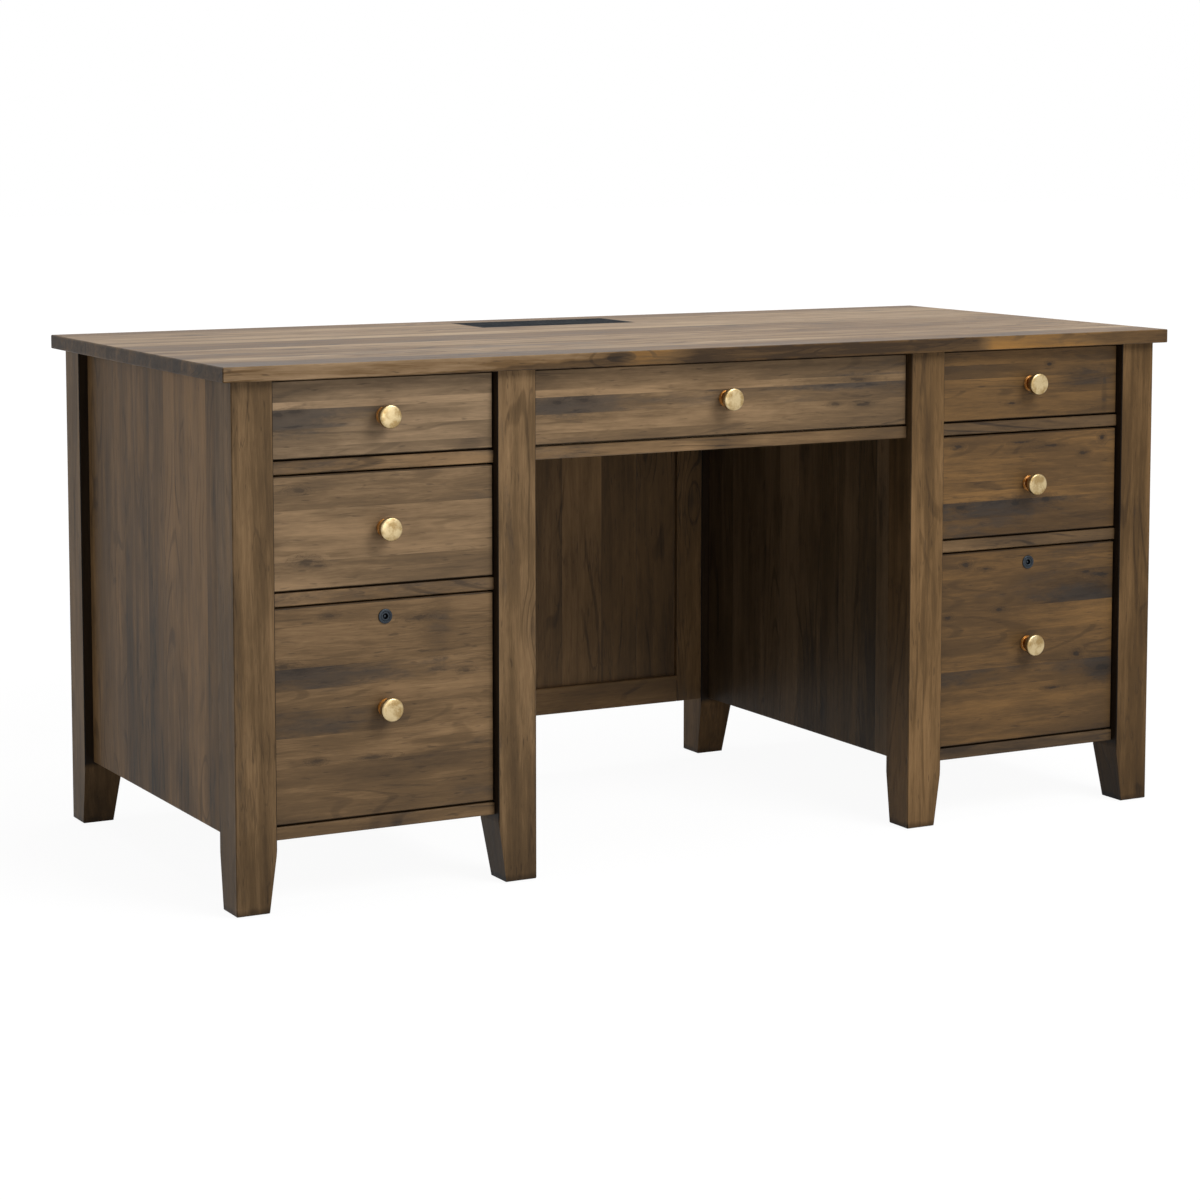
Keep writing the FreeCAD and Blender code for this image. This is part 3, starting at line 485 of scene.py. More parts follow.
def wood(name, turn, staves=None, box=None, boards=None, across=None, knots_at=(), hearts=1.0, stains_at=(),
         wear=0.0, dirt=0.0, inside=None, edge=None, stiles_from=None, tone=0.5, slate=0.3, clouds=1.0,
         streaks=0.35, figure=1.0, knots=0.6, shine=0.16, colours=None):
    """A wood material. Staves is (width, middle tone, spread); boards and across are for boards_from_list.

    Hearts is how dark the listed knots are. Inside is for leg_shade, which paints shade on a leg's inner faces, and
    edge is a function that changes tone, slate and colours. Beyond stiles_from, a distance from the middle of the desk,
    the grain stands upright.
    """
    graph, finish = new_material(name)
    here = graph.coordinate("Object")
    offset = tuple(draw.uniform(-9, 9) for _ in range(3))
    turned = graph.wire("ShaderNodeMapping", {"Vector": here, "Rotation": turn})
    if stiles_from:
        beside = graph.math("GREATER_THAN", abs(graph.split(here)[0]), stiles_from)
        upright = graph.wire("ShaderNodeMapping", {"Vector": here, "Rotation": UPRIGHT_ACROSS_X})
        turned = turned + (upright - turned) * beside
    if staves:
        width, middle, spread = staves
        turned, tone, stave_slate, joint = graph.group(stave_group, {
            "Vector": turned, "Width": width, "Middle": middle, "Spread": spread, "Seed": offset[0]}).values()
        slate = stave_slate * (slate * 2)
    if boards:
        tone, slate, shift = boards_from_list(graph, here, across, boards)
        turned = turned + graph.join(shift * 11.0, 0.0, 0.0)
    fed = {"Clouds": clouds, "Streaks": streaks, "Figure": figure, "Knots": knots, **(colours or {})}
    if edge:
        tone, slate, changed = edge(graph, here, tone, slate)
        fed.update(changed)
    if knots_at:
        heart, fed["Swell"] = place_marks(graph, here, box, knots_at)
        fed["Heart"] = heart * hearts
    if stains_at:
        stained = place_marks(graph, here, box, stains_at)[1]
        tone, slate = tone - stained * 0.16, slate + stained * 0.45
    if wear or dirt:
        rim = graph.group(edge_group, {"Vector": here, "Low corner": box[0], "High corner": box[1]})
        fed.update(Wear=rim["Wear"] * wear, Grime=rim["Dirt"] * dirt)
        if inside:
            # painted shade on a leg's inner faces joins the dirt along its rims
            fed["Grime"] += leg_shade(graph, here, *inside)
    fed.update(Vector=turned + offset, Tone=tone, Slate=slate)
    tint, rough, height = graph.group(wood_group, fed).values()
    if staves:
        tint = graph.mix(joint * 0.55, tint, colour(40, 34, 29))
        height = height - joint
    return finish(tint, rough, shine, relief=(height, GRAIN_RELIEF, GRAIN_DEPTH))


def dress(node, material):
    """Gives every slot of a CAD node the same material."""
    data = NODES[node].data
    if not data.materials:
        data.materials.append(material)
    for number in range(len(data.materials)):
        data.materials[number] = material


print("wood materials ready")

# %% [markdown]
# ## Desktop
# The desktop's boards run along its length, from a grey strip at the back to a dark one at the front. Its long edge
# shows other boards than its face: brown at the left, a dark grain line that climbs to the middle, and two ochre
# patches. Its ends are weathered grey. The face gets a lighter tan as painted light from above and a lighter, cooler
# grey as painted sheen. One function blends these by the direction in which a face looks.

# %% Dress the desktop
TOP_BOARDS = [(0.09, (0.5, 0.3), (0.55, 0.4)), (0.14, (0.66, 0.3), (0.7, 0.3)), (0.12, (0.62, 0.4), (0.78, 0.2)),
              (0.06, (0.85, 0.0), (0.75, 0.2)), (0.15, (0.42, 0.7), (0.55, 0.5)), (0.12, (0.72, 0.2), (0.55, 0.55)),
              (0.1, (0.52, 0.75), (0.68, 0.3)), (0.12, (0.6, 0.65), (0.62, 0.45)), (0.1, (0.38, 0.95), (0.46, 0.75))]
LONG_EDGE = [(0.0, 0.74, 0.1), (0.08, 0.86, 0.05), (0.2, 0.78, 0.4), (0.3, 0.74, 0.3), (0.375, 0.58, 0.0),
             (0.39, 0.64, 0.0), (0.43, 0.5, 0.0), (0.46, 0.0, 0.2), (0.64, 0.0, 0.25), (0.72, 0.18, 0.25),
             (0.77, 0.22, 0.3), (0.79, 0.82, 0.0), (0.87, 0.74, 0.0), (0.92, 0.42, 0.0), (0.97, 0.36, 0.05),
             (1.0, 0.12, 0.2)]
END_TONE, END_SLATE = 0.2, 0.85
# The desktop's face gets painted light, a lighter tan, and painted sheen, a lighter and cooler grey.
TOP_LIT_TAN, LEFT_TAN, RIGHT_TAN, TOP_SHEEN_GREY = (159, 136, 106), (153, 127, 97), (150, 108, 55), (92, 86, 82)
top_low, top_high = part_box("desktop")


def desktop_edge(graph, here, tone, slate):
    """Tone, slate and colours of the desktop's edges in place of its face's, with painted light and sheen on the face.
    """
    x, _, z = graph.split(here)
    along = graph.share(x, top_low.x, top_high.x)
    waver = graph.noise(here, (24, 24, 60)) - 0.5
    long_tone, long_slate, _ = graph.split(ramp(graph, along + waver * 0.02, LONG_EDGE))
    climb = graph.share(z, top_high.z, top_low.z) + graph.share(along, 0.2, 0.46) + waver * 0.5
    long_tone -= graph.fade(climb, 0.94, 1.08, 0.0, 0.32) * graph.fade(along, 0.39, 0.37)
    at_end, at_side, _ = (graph.fade(abs(part), 0.5, 0.8) for part in graph.split(graph.coordinate("Normal")))
    changed = []
    for face, side, end in ((tone, long_tone, END_TONE), (slate, long_slate, END_SLATE)):
        value = face + (side - face) * at_side
        changed.append(value + (end - value) * at_end)
    long_tan = graph.mix(graph.fade(along, 0.33, 0.4), colour(*LEFT_TAN), colour(*RIGHT_TAN))
    at_edge = graph.largest(at_side, at_end)
    # painted light and sheen on the face; the edges keep the wood's own tan and grey
    return *changed, {"Tan": graph.mix(at_side, colour(*TOP_LIT_TAN), long_tan),
                      "Slate grey": graph.mix(at_edge, colour(*TOP_SHEEN_GREY), colour(*WOOD_COLOURS["Slate grey"]))}


dress("desktop", wood("wood_desktop", ALONG_X, box=(top_low, top_high), wear=0.5, boards=TOP_BOARDS, shine=0.1,
                      across=(1, top_high.y, top_low.y, 0, top_low.x, top_high.x), edge=desktop_edge, clouds=0.7,
                      streaks=0.9, colours=stain()))
print("desktop boards", len(TOP_BOARDS))

# %% [markdown]
# ## Legs, panels and rails
# The legs and panels stand upright. The left panel, which a visitor sees first, lists its staves from the back to the
# front, with tone and weathering at the top and the bottom. The other panels draw staves about 55 mm wide at random,
# and those that face the kneehole are painted darker and greyer as shade. The faces of the legs that look into a
# pedestal get painted shade, so that the gap beside a drawer front reads as a shadow line, and those towards the
# kneehole half as much. The feet get darker towards the floor.

# %% Dress the legs and side panels
SIDE_BOARDS = [(0.13, (0.52, 0.5), (0.54, 0.25)), (0.075, (0.46, 0.5), (0.6, 0.3)),
               (0.075, (0.54, 0.45), (0.62, 0.35)), (0.075, (0.52, 0.45), (0.3, 0.7)),
               (0.075, (0.62, 0.4), (0.46, 0.6)), (0.025, (0.56, 0.45), (0.5, 0.5)),
               (0.015, (0.45, 0.8), (0.16, 1.0)), (0.035, (0.6, 0.45), (0.34, 0.85)),
               (0.075, (0.6, 0.4), (0.42, 0.5)), (0.075, (0.88, 0.05), (0.6, 0.35)),
               (0.075, (0.82, 0.15), (0.38, 0.6)), (0.145, (0.82, 0.2), (0.54, 0.4)),
               (0.065, (0.5, 0.6), (0.34, 0.6)), (0.06, (0.3, 0.65), (0.18, 0.65))]
LEG_LEVELS = {"left_outer": (0.97, 0.12), "left_inner": (0.99, 0.12), "right_inner": (0.95, 0.0),
             "right_outer": (0.81, -0.05)}
FRONT_LEG_TONE, REAR_LEG_TONE = 0.58, 0.68
for name in NODES:
    if name.startswith("leg_") and name != "leg_glides":
        _, side, place, end = name.split("_")
        into_bay = 1 if (side, place) in (("left", "outer"), ("right", "inner")) else -1
        dress(name, wood(f"wood_{name}", UPRIGHT_ACROSS_Y, box=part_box(name), wear=0.15, dirt=0.3, streaks=0.8,
                         inside=(into_bay, 1 if end == "front" else -1, place == "inner"), figure=0.75, shine=0.08,
                         tone=FRONT_LEG_TONE if end == "front" else REAR_LEG_TONE,
                         colours=stain(*LEG_LEVELS[f"{side}_{place}"])))
    if name.startswith("side_panel"):
        low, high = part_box(name)
        # painted shade: the inner panels, which face the kneehole, are darker and greyer
        layout = dict(staves=(0.055, 0.64, 0.45), colours=stain(0.72, 0.2) if "inner" in name else None)
        if name == "side_panel_left_outer":
            layout = dict(boards=SIDE_BOARDS, across=(1, high.y, low.y, 2, high.z, low.z),
                          colours=stain(slate_grey=(60, 57, 52)))
        dress(name, wood(f"wood_{name}", UPRIGHT_ACROSS_Y, slate=0.4, shine=0.08, clouds=0.9, streaks=0.7,
                         figure=0.9, knots=0.5, **layout))
print("dressed", sum(bool(node.data.materials) for node in NODES.values()))

# %% [markdown]
# The rails are long thin strips that came from several boards, so their tone and weathering are listed along the desk:
# once for the upper rails with the one under the centre drawer, and once for the lower ones. The backs, the panel in
# the kneehole and the drawer boxes are seen less, and draw what they need at random. The panel and frame in the
# kneehole are painted a little darker, as shade.

# %% Dress the rails, backs and boxes
UPPER_RAILS = [(0.0, 0.5, 0.7), (0.1, 0.78, 0.55), (0.2, 1.0, 0.5), (0.27, 0.6, 0.5), (0.46, 0.56, 0.45),
               (0.5, 0.22, 0.55), (0.55, 0.46, 0.2), (0.62, 0.6, 0.1), (0.72, 0.36, 0.25), (0.85, 0.26, 0.05),
               (1.0, 0.12, 0.05)]
LOWER_RAILS = [(0.0, 0.7, 0.75), (0.24, 0.62, 0.75), (0.76, 0.42, 0.3), (0.88, 0.25, 0.4), (0.94, 0.5, 0.15),
               (1.0, 0.42, 0.15)]
RAIL_END, STILE_WIDTH = 0.72, 48 * MM


def rail_tones(graph, here, tone, slate):
    """Tone and slate along the rails, with the base rails darker and less grey."""
    x, _, z = graph.split(here)
    along = graph.share(x, -RAIL_END, RAIL_END)
    upper, lower = (ramp(graph, along, stops) for stops in (UPPER_RAILS, LOWER_RAILS))
    tone, slate, _ = graph.split(graph.mix(graph.fade(z, 0.5, 0.55), lower, upper))
    base = graph.fade(z, 0.2, 0.15)
    return tone - base * 0.15, slate - base * 0.4, {}


PALE = dict(slate=0.15, clouds=0.7, knots=0.15, figure=0.7,
            colours=stain(dark_brown=(150, 122, 88), brown=(190, 164, 126), tan=(216, 194, 158),
                          slate_grey=(168, 142, 106)))
dress("pedestal_backs", wood("wood_pedestal_backs", UPRIGHT_ACROSS_X, staves=(0.075, 0.5, 0.6)))
# painted shade: the panel and frame in the kneehole are a little darker
dress("modesty_panel", wood("wood_modesty_panel", UPRIGHT_ACROSS_X, staves=(0.075, 0.4, 0.6), colours=stain(0.9)))
dress("modesty_frame", wood("wood_modesty_frame", ALONG_X, stiles_from=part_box("modesty_frame")[1].x - STILE_WIDTH,
                            tone=0.45, colours=stain(0.95)))
for name in ("pedestal_rails", "centre_rail"):
    dress(name, wood(f"wood_{name}", ALONG_X, edge=rail_tones, colours=stain(1.0, 0.1)))
dress("pedestal_floors", wood("wood_floors", ALONG_Y, staves=(0.08, 0.5, 0.3)))
dress("battens", wood("wood_battens", ALONG_Y, tone=0.45, **PALE))
for name in NODES:
    if name.startswith("box_"):
        dress(name, wood(f"wood_{name}", ALONG_Y, tone=0.6, **PALE))
print("dressed", sum(bool(node.data.materials) for node in NODES.values()))

# %% [markdown]
# ## Drawer fronts
# A front is glued up from a few boards that lie flat. Each row gives a board's share of the height, from the top
# down, and its tone and weathering at the left and at the right end.

# %% Boards of the drawer fronts
FRONT_BOARDS = {
    "left_top": [(0.27, (0.52, 0.25), (0.5, 0.45)), (0.1, (0.74, 0.0), (0.67, 0.1)),
                 (0.25, (0.46, 0.85), (0.58, 0.25)), (0.23, (0.5, 0.45), (0.65, 0.15)),
                 (0.15, (0.45, 0.45), (0.6, 0.2))],
    "left_middle": [(0.3, (0.6, 0.3), (0.55, 0.4)), (0.45, (0.65, 0.15), (0.6, 0.2)), (0.1, (0.5, 0.5), (0.6, 0.25)),
                    (0.15, (0.72, 0.05), (0.55, 0.35))],
    "left_file": [(0.22, (0.58, 0.15), (0.55, 0.3)), (0.06, (0.75, 0.0), (0.6, 0.2)), (0.1, (0.35, 0.9), (0.6, 0.35)),
                  (0.1, (0.5, 0.45), (0.62, 0.2)), (0.12, (0.4, 0.75), (0.5, 0.4)), (0.14, (0.66, 0.1), (0.5, 0.3)),
                  (0.12, (0.6, 0.2), (0.5, 0.35)), (0.14, (0.62, 0.05), (0.42, 0.7))],
    "centre": [(0.27, (0.57, 0.3), (0.4, 0.45)), (0.1, (0.83, 0.0), (0.66, 0.1)), (0.23, (0.51, 0.8), (0.4, 0.75)),
               (0.25, (0.67, 0.3), (0.52, 0.35)), (0.15, (0.57, 0.4), (0.45, 0.4))],
    "right_top": [(0.2, (0.55, 0.25), (0.55, 0.3)), (0.2, (0.4, 0.7), (0.5, 0.35)), (0.16, (0.6, 0.25), (0.5, 0.4)),
                  (0.1, (0.75, 0.05), (0.75, 0.05)), (0.34, (0.6, 0.15), (0.55, 0.25))],
    "right_middle": [(0.2, (0.55, 0.25), (0.5, 0.4)), (0.25, (0.62, 0.1), (0.58, 0.2)),
                     (0.1, (0.5, 0.35), (0.55, 0.25)), (0.1, (0.72, 0.0), (0.65, 0.1)),
                     (0.17, (0.3, 1.0), (0.4, 0.7)), (0.18, (0.42, 0.6), (0.45, 0.45))],
    "right_file": [(0.13, (0.58, 0.2), (0.45, 0.5)), (0.17, (0.5, 0.3), (0.35, 0.75)),
                   (0.13, (0.55, 0.2), (0.68, 0.05)), (0.18, (0.55, 0.2), (0.52, 0.3)),
                   (0.1, (0.38, 0.8), (0.4, 0.65)), (0.29, (0.58, 0.15), (0.5, 0.3))],
}
print("front boards", sum(len(boards) for boards in FRONT_BOARDS.values()))

# %% [markdown]
# The knots and stains of each front are listed by their place, from the left and from the top, and their size in
# millimetres. The fronts at the right are darker and warmer, and those at the left lighter and greyer towards the top.

# %% Knots and stains of the drawer fronts
FRONT_KNOTS = {
    "left_top": [(0.03, 0.42, 18, 8), (0.1, 0.4, 27, 7)],
    "left_middle": [(0.12, 0.13, 24, 8), (0.15, 0.76, 30, 12), (0.2, 0.8, 24, 5)],
    "left_file": [(0.25, 0.05, 22, 7), (0.66, 0.09, 32, 7), (0.04, 0.27, 30, 9), (0.12, 0.29, 32, 7),
                  (0.87, 0.36, 22, 7), (0.19, 0.72, 19, 7), (0.44, 0.73, 40, 5)],
    "centre": [(0.06, 0.45, 19, 7), (0.13, 0.43, 24, 8), (0.86, 0.32, 35, 7), (0.88, 0.68, 30, 7),
               (0.8, 0.66, 19, 5)],
    "right_top": [(0.61, 0.24, 12, 8), (0.4, 0.78, 24, 5)],
    "right_middle": [(0.1, 0.1, 19, 7), (0.46, 0.09, 40, 5), (0.62, 0.14, 35, 5), (0.81, 0.23, 19, 8),
                     (0.92, 0.09, 11, 12), (0.42, 0.69, 24, 11), (0.6, 0.67, 24, 11), (0.12, 0.7, 22, 8)],
    "right_file": [(0.15, 0.06, 16, 11), (0.26, 0.09, 24, 5), (0.92, 0.17, 30, 8), (0.84, 0.15, 22, 5),
                   (0.34, 0.31, 19, 7), (0.05, 0.33, 16, 7), (0.79, 0.58, 15, 11), (0.94, 0.67, 32, 12),
                   (0.65, 0.75, 32, 5)],
}
FRONT_STAINS = {
    "left_top": [(0.08, 0.5, 60, 26)],
    "left_file": [(0.74, 0.13, 26, 62), (0.75, 0.1, 24, 50), (0.1, 0.28, 70, 14)],
    "centre": [(0.1, 0.5, 80, 22), (0.85, 0.35, 120, 12)],
    "right_top": [(0.8, 0.48, 54, 20), (0.93, 0.7, 6, 40)],
    "right_middle": [(0.45, 0.7, 120, 20)],
    "right_file": [(0.85, 0.27, 90, 24), (0.93, 0.67, 36, 30)],
}
# Level and greyness by front: the fronts at the right are darker and warmer.
FRONT_LEVELS = {"left_top": (1.19, 0.3), "left_middle": (1.09, 0.2), "left_file": (1.0, 0.1),
               "centre": (1.1, 0.2), "right_top": (0.75, -0.08), "right_middle": (0.84, -0.1),
               "right_file": (0.79, -0.1)}
GOLDEN = dict(tan=(158, 120, 74), slate_grey=(62, 56, 51))
for drawer, boards in FRONT_BOARDS.items():
    name = f"front_{drawer}"
    low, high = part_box(name)
    golden, hearts = (GOLDEN, 0.85) if drawer.startswith("right") else ({}, 0.5)
    dress(name, wood(f"wood_{name}", ALONG_X, box=(low, high), dirt=0.75, boards=boards, knots=0.2, figure=0.5,
                     across=(2, high.z, low.z, 0, low.x, high.x), knots_at=FRONT_KNOTS[drawer], hearts=hearts,
                     stains_at=FRONT_STAINS.get(drawer, ()), colours=stain(*FRONT_LEVELS[drawer], **golden)))
print("fronts", len(FRONT_BOARDS), "knots", sum(len(knots) for knots in FRONT_KNOTS.values()))

# %% [markdown]
# ## Metal, plastic and nylon
# The small fittings are brass, dark plated metal, zinc-plated steel and black plastic. None of them is perfectly even:
# fine scratches, smudges and a grain from moulding or plating change the gloss a little. One group makes these marks
# for all of them.

# %% The handling group
handling_group, ins, give = new_group("Handling", "ShaderNodeTree", [
    ("Vector", "vector"), ("Grain", "value", 900.0),
], [("Smudge", "value"), ("Scratch", "value"), ("Pebble", "value")])
g = handling_group
give(Smudge=g.noise(ins["Vector"], 28, 4.0, 0.6),
     Scratch=g.fade(g.noise(ins["Vector"], (2600, 40, 900), 2.0, 0.6), 0.56, 0.72),
     Pebble=g.noise(ins["Vector"], ins["Grain"], 3.0, 0.55))
PALE_SCRATCH, PAINTED_END_SHADE = (0.6, 0.6, 0.6, 1.0), colour(16, 16, 17)


def fitting(name, base, second, roughness, metallic=0.0, depth=0.05 * MM, shine=0.5, shaded_ends=False):
    """A fitting's material: two close colours, uneven gloss and a fine grain. Shaded ends paint near-black shade on the
    faces that look towards the front.
    """
    graph, finish = new_material(name)
    smudge, scratch, pebble = graph.group(handling_group, {"Vector": graph.coordinate("Object")}).values()
    tint = graph.mix(graph.fade(smudge, 0.3, 0.7), colour(*base), colour(*second))
    tint = graph.mix(scratch * 0.12, tint, PALE_SCRATCH)
    if shaded_ends:
        # painted shade: faces that look to the front are near black
        tint = graph.mix(looks_along(graph, 1, -1), tint, PAINTED_END_SHADE)
    rough = (smudge - 0.5) * 0.15 + roughness + scratch * 0.08
    return finish(tint, rough, shine, metallic, relief=(pebble, 0.3, depth))


print("handling group", len(g.tree.nodes), "nodes")

# %% [markdown]
# The slides and screws are zinc plated, the locks dark, the cable well is black plastic, and nylon glides stand under
# the legs. One grey could serve for all, but their gloss differs, so each gets its own colours and roughness. The ends
# of the slides that look to the front get painted shade, near black, so that they read as shadow in the gaps beside a
# drawer.

# %% Dress the fittings
ZINC = dict(base=(176, 178, 178), second=(146, 148, 146), roughness=0.34, metallic=1.0)
steel = fitting("zinc_plate", **ZINC)
slide_zinc = fitting("slide_zinc", **ZINC, shaded_ends=True)
dark_metal = fitting("dark_plated_metal", (54, 60, 66), (42, 47, 52), 0.4, metallic=1.0)
black_plastic = fitting("black_plastic", (24, 26, 29), (33, 35, 38), 0.75, depth=0.1 * MM, shine=0.05)
slate_plate = fitting("slate_plate", (46, 49, 52), (54, 56, 58), 0.8, depth=0.06 * MM, shine=0.0)
socket_plastic = fitting("socket_plastic", (62, 64, 67), (70, 72, 75), 0.4, depth=0.02 * MM)
nylon = fitting("pale_nylon", (214, 208, 194), (196, 189, 174), 0.5)
yellow_zinc = fitting("yellow_zinc", (190, 164, 98), (160, 140, 92), 0.32, metallic=1.0)
FITTINGS = (("runner_", slide_zinc), ("slide_", slide_zinc), ("lock_barrel", dark_metal), ("lock_plug", dark_metal),
            ("well_tray", black_plastic), ("socket_block", black_plastic), ("well_lid", slate_plate),
            ("leg_glides", nylon), ("top_screws", yellow_zinc))
for start, material in FITTINGS:
    for name in NODES:
        if name.startswith(start):
            dress(name, material)
print("dressed", sum(bool(node.data.materials) for node in NODES.values()))

# %% [markdown]
# ## Turned knobs
# Each knob is turned from brass: a small foot, a waist that flares into a thick head, and a softly rounded rim. A
# profile spun round its axis is how a lathe makes it, so rings of points are lofted along the profile. The rings also
# give the surface its own map, so that the brushing runs round the head.

# %% Lathe helpers
SEGMENTS, TOUCH, CREASE = 64, 1e-7, math.radians(35)


def arc(centre, radius, start, end, steps):
    """Points on an arc in the profile plane: distance from the axis, and distance along it."""
    angles = [math.radians(start + (end - start) * i / steps) for i in range(steps + 1)]
    return [(centre[0] + radius * math.cos(angle), centre[1] + radius * math.sin(angle)) for angle in angles]


def spin(made, profile, foot, segments=SEGMENTS, notch=None):
    """Adds a turned body to a bmesh. The profile is (radius, distance towards the front) and its axis is Y.

    A notch is (radius, wider radius, half width in segments): the rings of that radius widen at the top.
    """
    unwrap = made.loops.layers.uv.verify()
    turns = [2 * math.pi * i / segments for i in range(segments)]
    rings, lengths = [], [0.0]
    for number, (radius, out) in enumerate(profile):
        if number:
            lengths.append(lengths[-1] + math.dist(profile[number], profile[number - 1]))
        if radius < TOUCH:
            rings.append([made.verts.new(foot + Vector((0, -out, 0)))])
            continue
        radii = [radius] * segments
        if notch and abs(radius - notch[0]) < TOUCH:
            top = segments // 4
            radii[top - notch[2]:top + notch[2] + 1] = [notch[1]] * (2 * notch[2] + 1)
        rings.append([made.verts.new(foot + Vector((wide * math.cos(turn), -out, wide * math.sin(turn))))
                      for wide, turn in zip(radii, turns)])
    for number, (near, far) in enumerate(zip(rings, rings[1:])):
        for i in range(segments):
            j = (i + 1) % segments
            corners = [(near[i % len(near)], i, number), (near[j % len(near)], i + 1, number),
                       (far[j % len(far)], i + 1, number + 1), (far[i % len(far)], i, number + 1)]
            unwrapped = {corner: (step / segments, lengths[ring]) for corner, step, ring in corners}
            if len(unwrapped) < 3:
                continue
            face = made.faces.new(list(unwrapped))
            face.smooth = True
            for loop in face.loops:
                loop[unwrap].uv = unwrapped[loop.vert]


def closed_mesh(made):
    """Turns the faces of a closed bmesh outwards and returns it as a mesh with its sharp creases."""
    bmesh.ops.remove_doubles(made, verts=made.verts, dist=TOUCH)
    bmesh.ops.recalc_face_normals(made, faces=made.faces)
    for edge in made.edges:
        if len(edge.link_faces) == 2 and edge.calc_face_angle(0) > CREASE:
            edge.smooth = False
    mesh = bpy.data.meshes.new("closed")
    made.to_mesh(mesh)
    made.free()
    return mesh


def put(name, mesh, body, material=None, hidden=None):
    """Links a finished mesh as a piece that rides on a body, and hides the node that it stands for."""
    mesh.name = name
    if material:
        mesh.materials.append(material)
    piece = link(name, mesh)
    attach(piece, body)
    if hidden:
        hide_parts(hidden)


print("lathe with", SEGMENTS, "segments")

# %% [markdown]
# The head was brushed while it turned and then handled for years: fine rings, scratches across them and a dull bloom. A
# darker, warmer orange at the foot and the waist is a painted reflection of the wooden front. An image of brushed metal
# would swirl at the centre, so noise is stretched along the turned map instead and follows the rings.

# %% The brushed brass
g, finish = new_material("brushed_brass")
ring_map, here = g.wire("ShaderNodeUVMap"), g.coordinate("Object")
round_lines = g.noise(ring_map, (5, 5200, 1), 3.0, 0.6)
cross_lines = g.noise(here, (1500, 60, 420), 2.0, 0.6)
tarnish = g.noise(here, 70, 4.0, 0.6)
wood_reflection = g.fade(g.split(ring_map)[1], 34 * MM, 28 * MM)
tint = g.mix(g.fade(tarnish, 0.4, 0.62), colour(192, 172, 132), colour(152, 127, 84))
# painted reflection of the wooden front: a warm orange at the foot and waist
tint = g.mix(wood_reflection, tint, colour(140, 90, 36))
tint = g.mix(g.fade(cross_lines, 0.5, 0.7) * 0.3, tint, colour(212, 194, 156))
brass = finish(tint, round_lines * 0.16 + tarnish * 0.16 + 0.2, metallic=1.0,
               relief=(round_lines + cross_lines, 0.25, 0.04 * MM))
print("brass", len(g.tree.nodes), "nodes")

# %% [markdown]
# The profile runs from the drawer front out to the middle of the head. Arcs round each corner, because a sharp edge
# would catch no light. A pan-head screw from inside the drawer holds the knob, and is turned in the same way.

# %% Knobs on their drawers
HEAD, WAIST, FOOT, RIM = 16.75 * MM, 9.8 * MM, 12.5 * MM, 2.6 * MM
PROJECTION, HEAD_THICK = 26 * MM, 10 * MM
under_head = PROJECTION - HEAD_THICK
KNOB_PROFILE = [(0.0, 0.0), (FOOT - 0.4 * MM, 0.0)]
KNOB_PROFILE += arc((FOOT - 0.8 * MM, 1.2 * MM), 0.8 * MM, -40, 90, 5)
KNOB_PROFILE += arc((WAIST + 1.7 * MM, 3.7 * MM), 1.7 * MM, 270, 180, 8)
KNOB_PROFILE += arc((WAIST + 3.0 * MM, under_head - 3.0 * MM), 3.0 * MM, 180, 90, 8)
KNOB_PROFILE += arc((HEAD - RIM, under_head + RIM), RIM, -90, 0, 8)
KNOB_PROFILE += arc((HEAD - RIM, PROJECTION - 0.35 * MM - RIM), RIM, 0, 78, 8)
KNOB_PROFILE += [(9 * MM, PROJECTION - 0.1 * MM), (4 * MM, PROJECTION - 0.02 * MM), (0.0, PROJECTION)]
SCREW_PROFILE = [(0.0, 12 * MM), (2 * MM, 12 * MM), (2 * MM, 0.2 * MM), (4.5 * MM, 0.0), (4.5 * MM, -1.2 * MM)]
SCREW_PROFILE += arc((2.7 * MM, -1.2 * MM), 1.8 * MM, 0, -80, 5)
SCREW_PROFILE += [(1.2 * MM, -3.0 * MM), (0.9 * MM, -1.6 * MM), (0.0, -1.6 * MM)]
for drawer in FRONT_BOARDS:
    low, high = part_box(f"knob_{drawer}")
    front_low, front_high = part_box(f"front_{drawer}")
    middle = (low + high) / 2
    made = bmesh.new()
    spin(made, KNOB_PROFILE, Vector((middle.x, front_low.y, middle.z)))
    spin(made, SCREW_PROFILE, Vector((middle.x, front_high.y, middle.z)), 32)
    put(f"turned_knob_{drawer}", closed_mesh(made), f"drawer_{drawer}", brass, f"knob_{drawer}")
print("knobs", len(FRONT_BOARDS), "profile points", len(KNOB_PROFILE))

# %% [markdown]
# ## Locks
# A file drawer has a cam lock for a round key: a bezel with a softened rim, a barrel held by a nut behind the front,
# and a plug with a ring-shaped keyhole, a notch for the key and a flat cam at its tail. All but the cam are turned,
# so the lathe makes them too. The barrel stays with the drawer, and the plug rides on the lock's own body.

# %% Lock pieces
BEZEL, BARREL, BORE, PLUG = 10.5 * MM, 9 * MM, 6.8 * MM, 6.5 * MM
BEZEL_THICK, NUT_THICK, NUT, CAM_THICK = 2 * MM, 4 * MM, 13 * MM, 2.5 * MM
KEY_POST, KEY_RING, KEY_NOTCH, KEY_DEPTH = 1.7 * MM, 4.1 * MM, 5.3 * MM, 8 * MM
NUT_BORE = BARREL * 1.16


def add_cam(made, middle, front, back, length, half):
    """A flat plate with round ends that reaches from the axis towards the left."""
    outline = [(half * math.sin(t), half * math.cos(t)) for t in (math.pi * i / 12 for i in range(13))]
    outline += [(2 * half - length - x, -z) for x, z in outline]
    sides = [[made.verts.new((middle.x + x, y, middle.z + z)) for x, z in outline] for y in (front, back)]
    for side in sides:
        made.faces.new(side)
    for i in range(len(outline)):
        j = (i + 1) % len(outline)
        made.faces.new((sides[0][i], sides[0][j], sides[1][j], sides[1][i]))


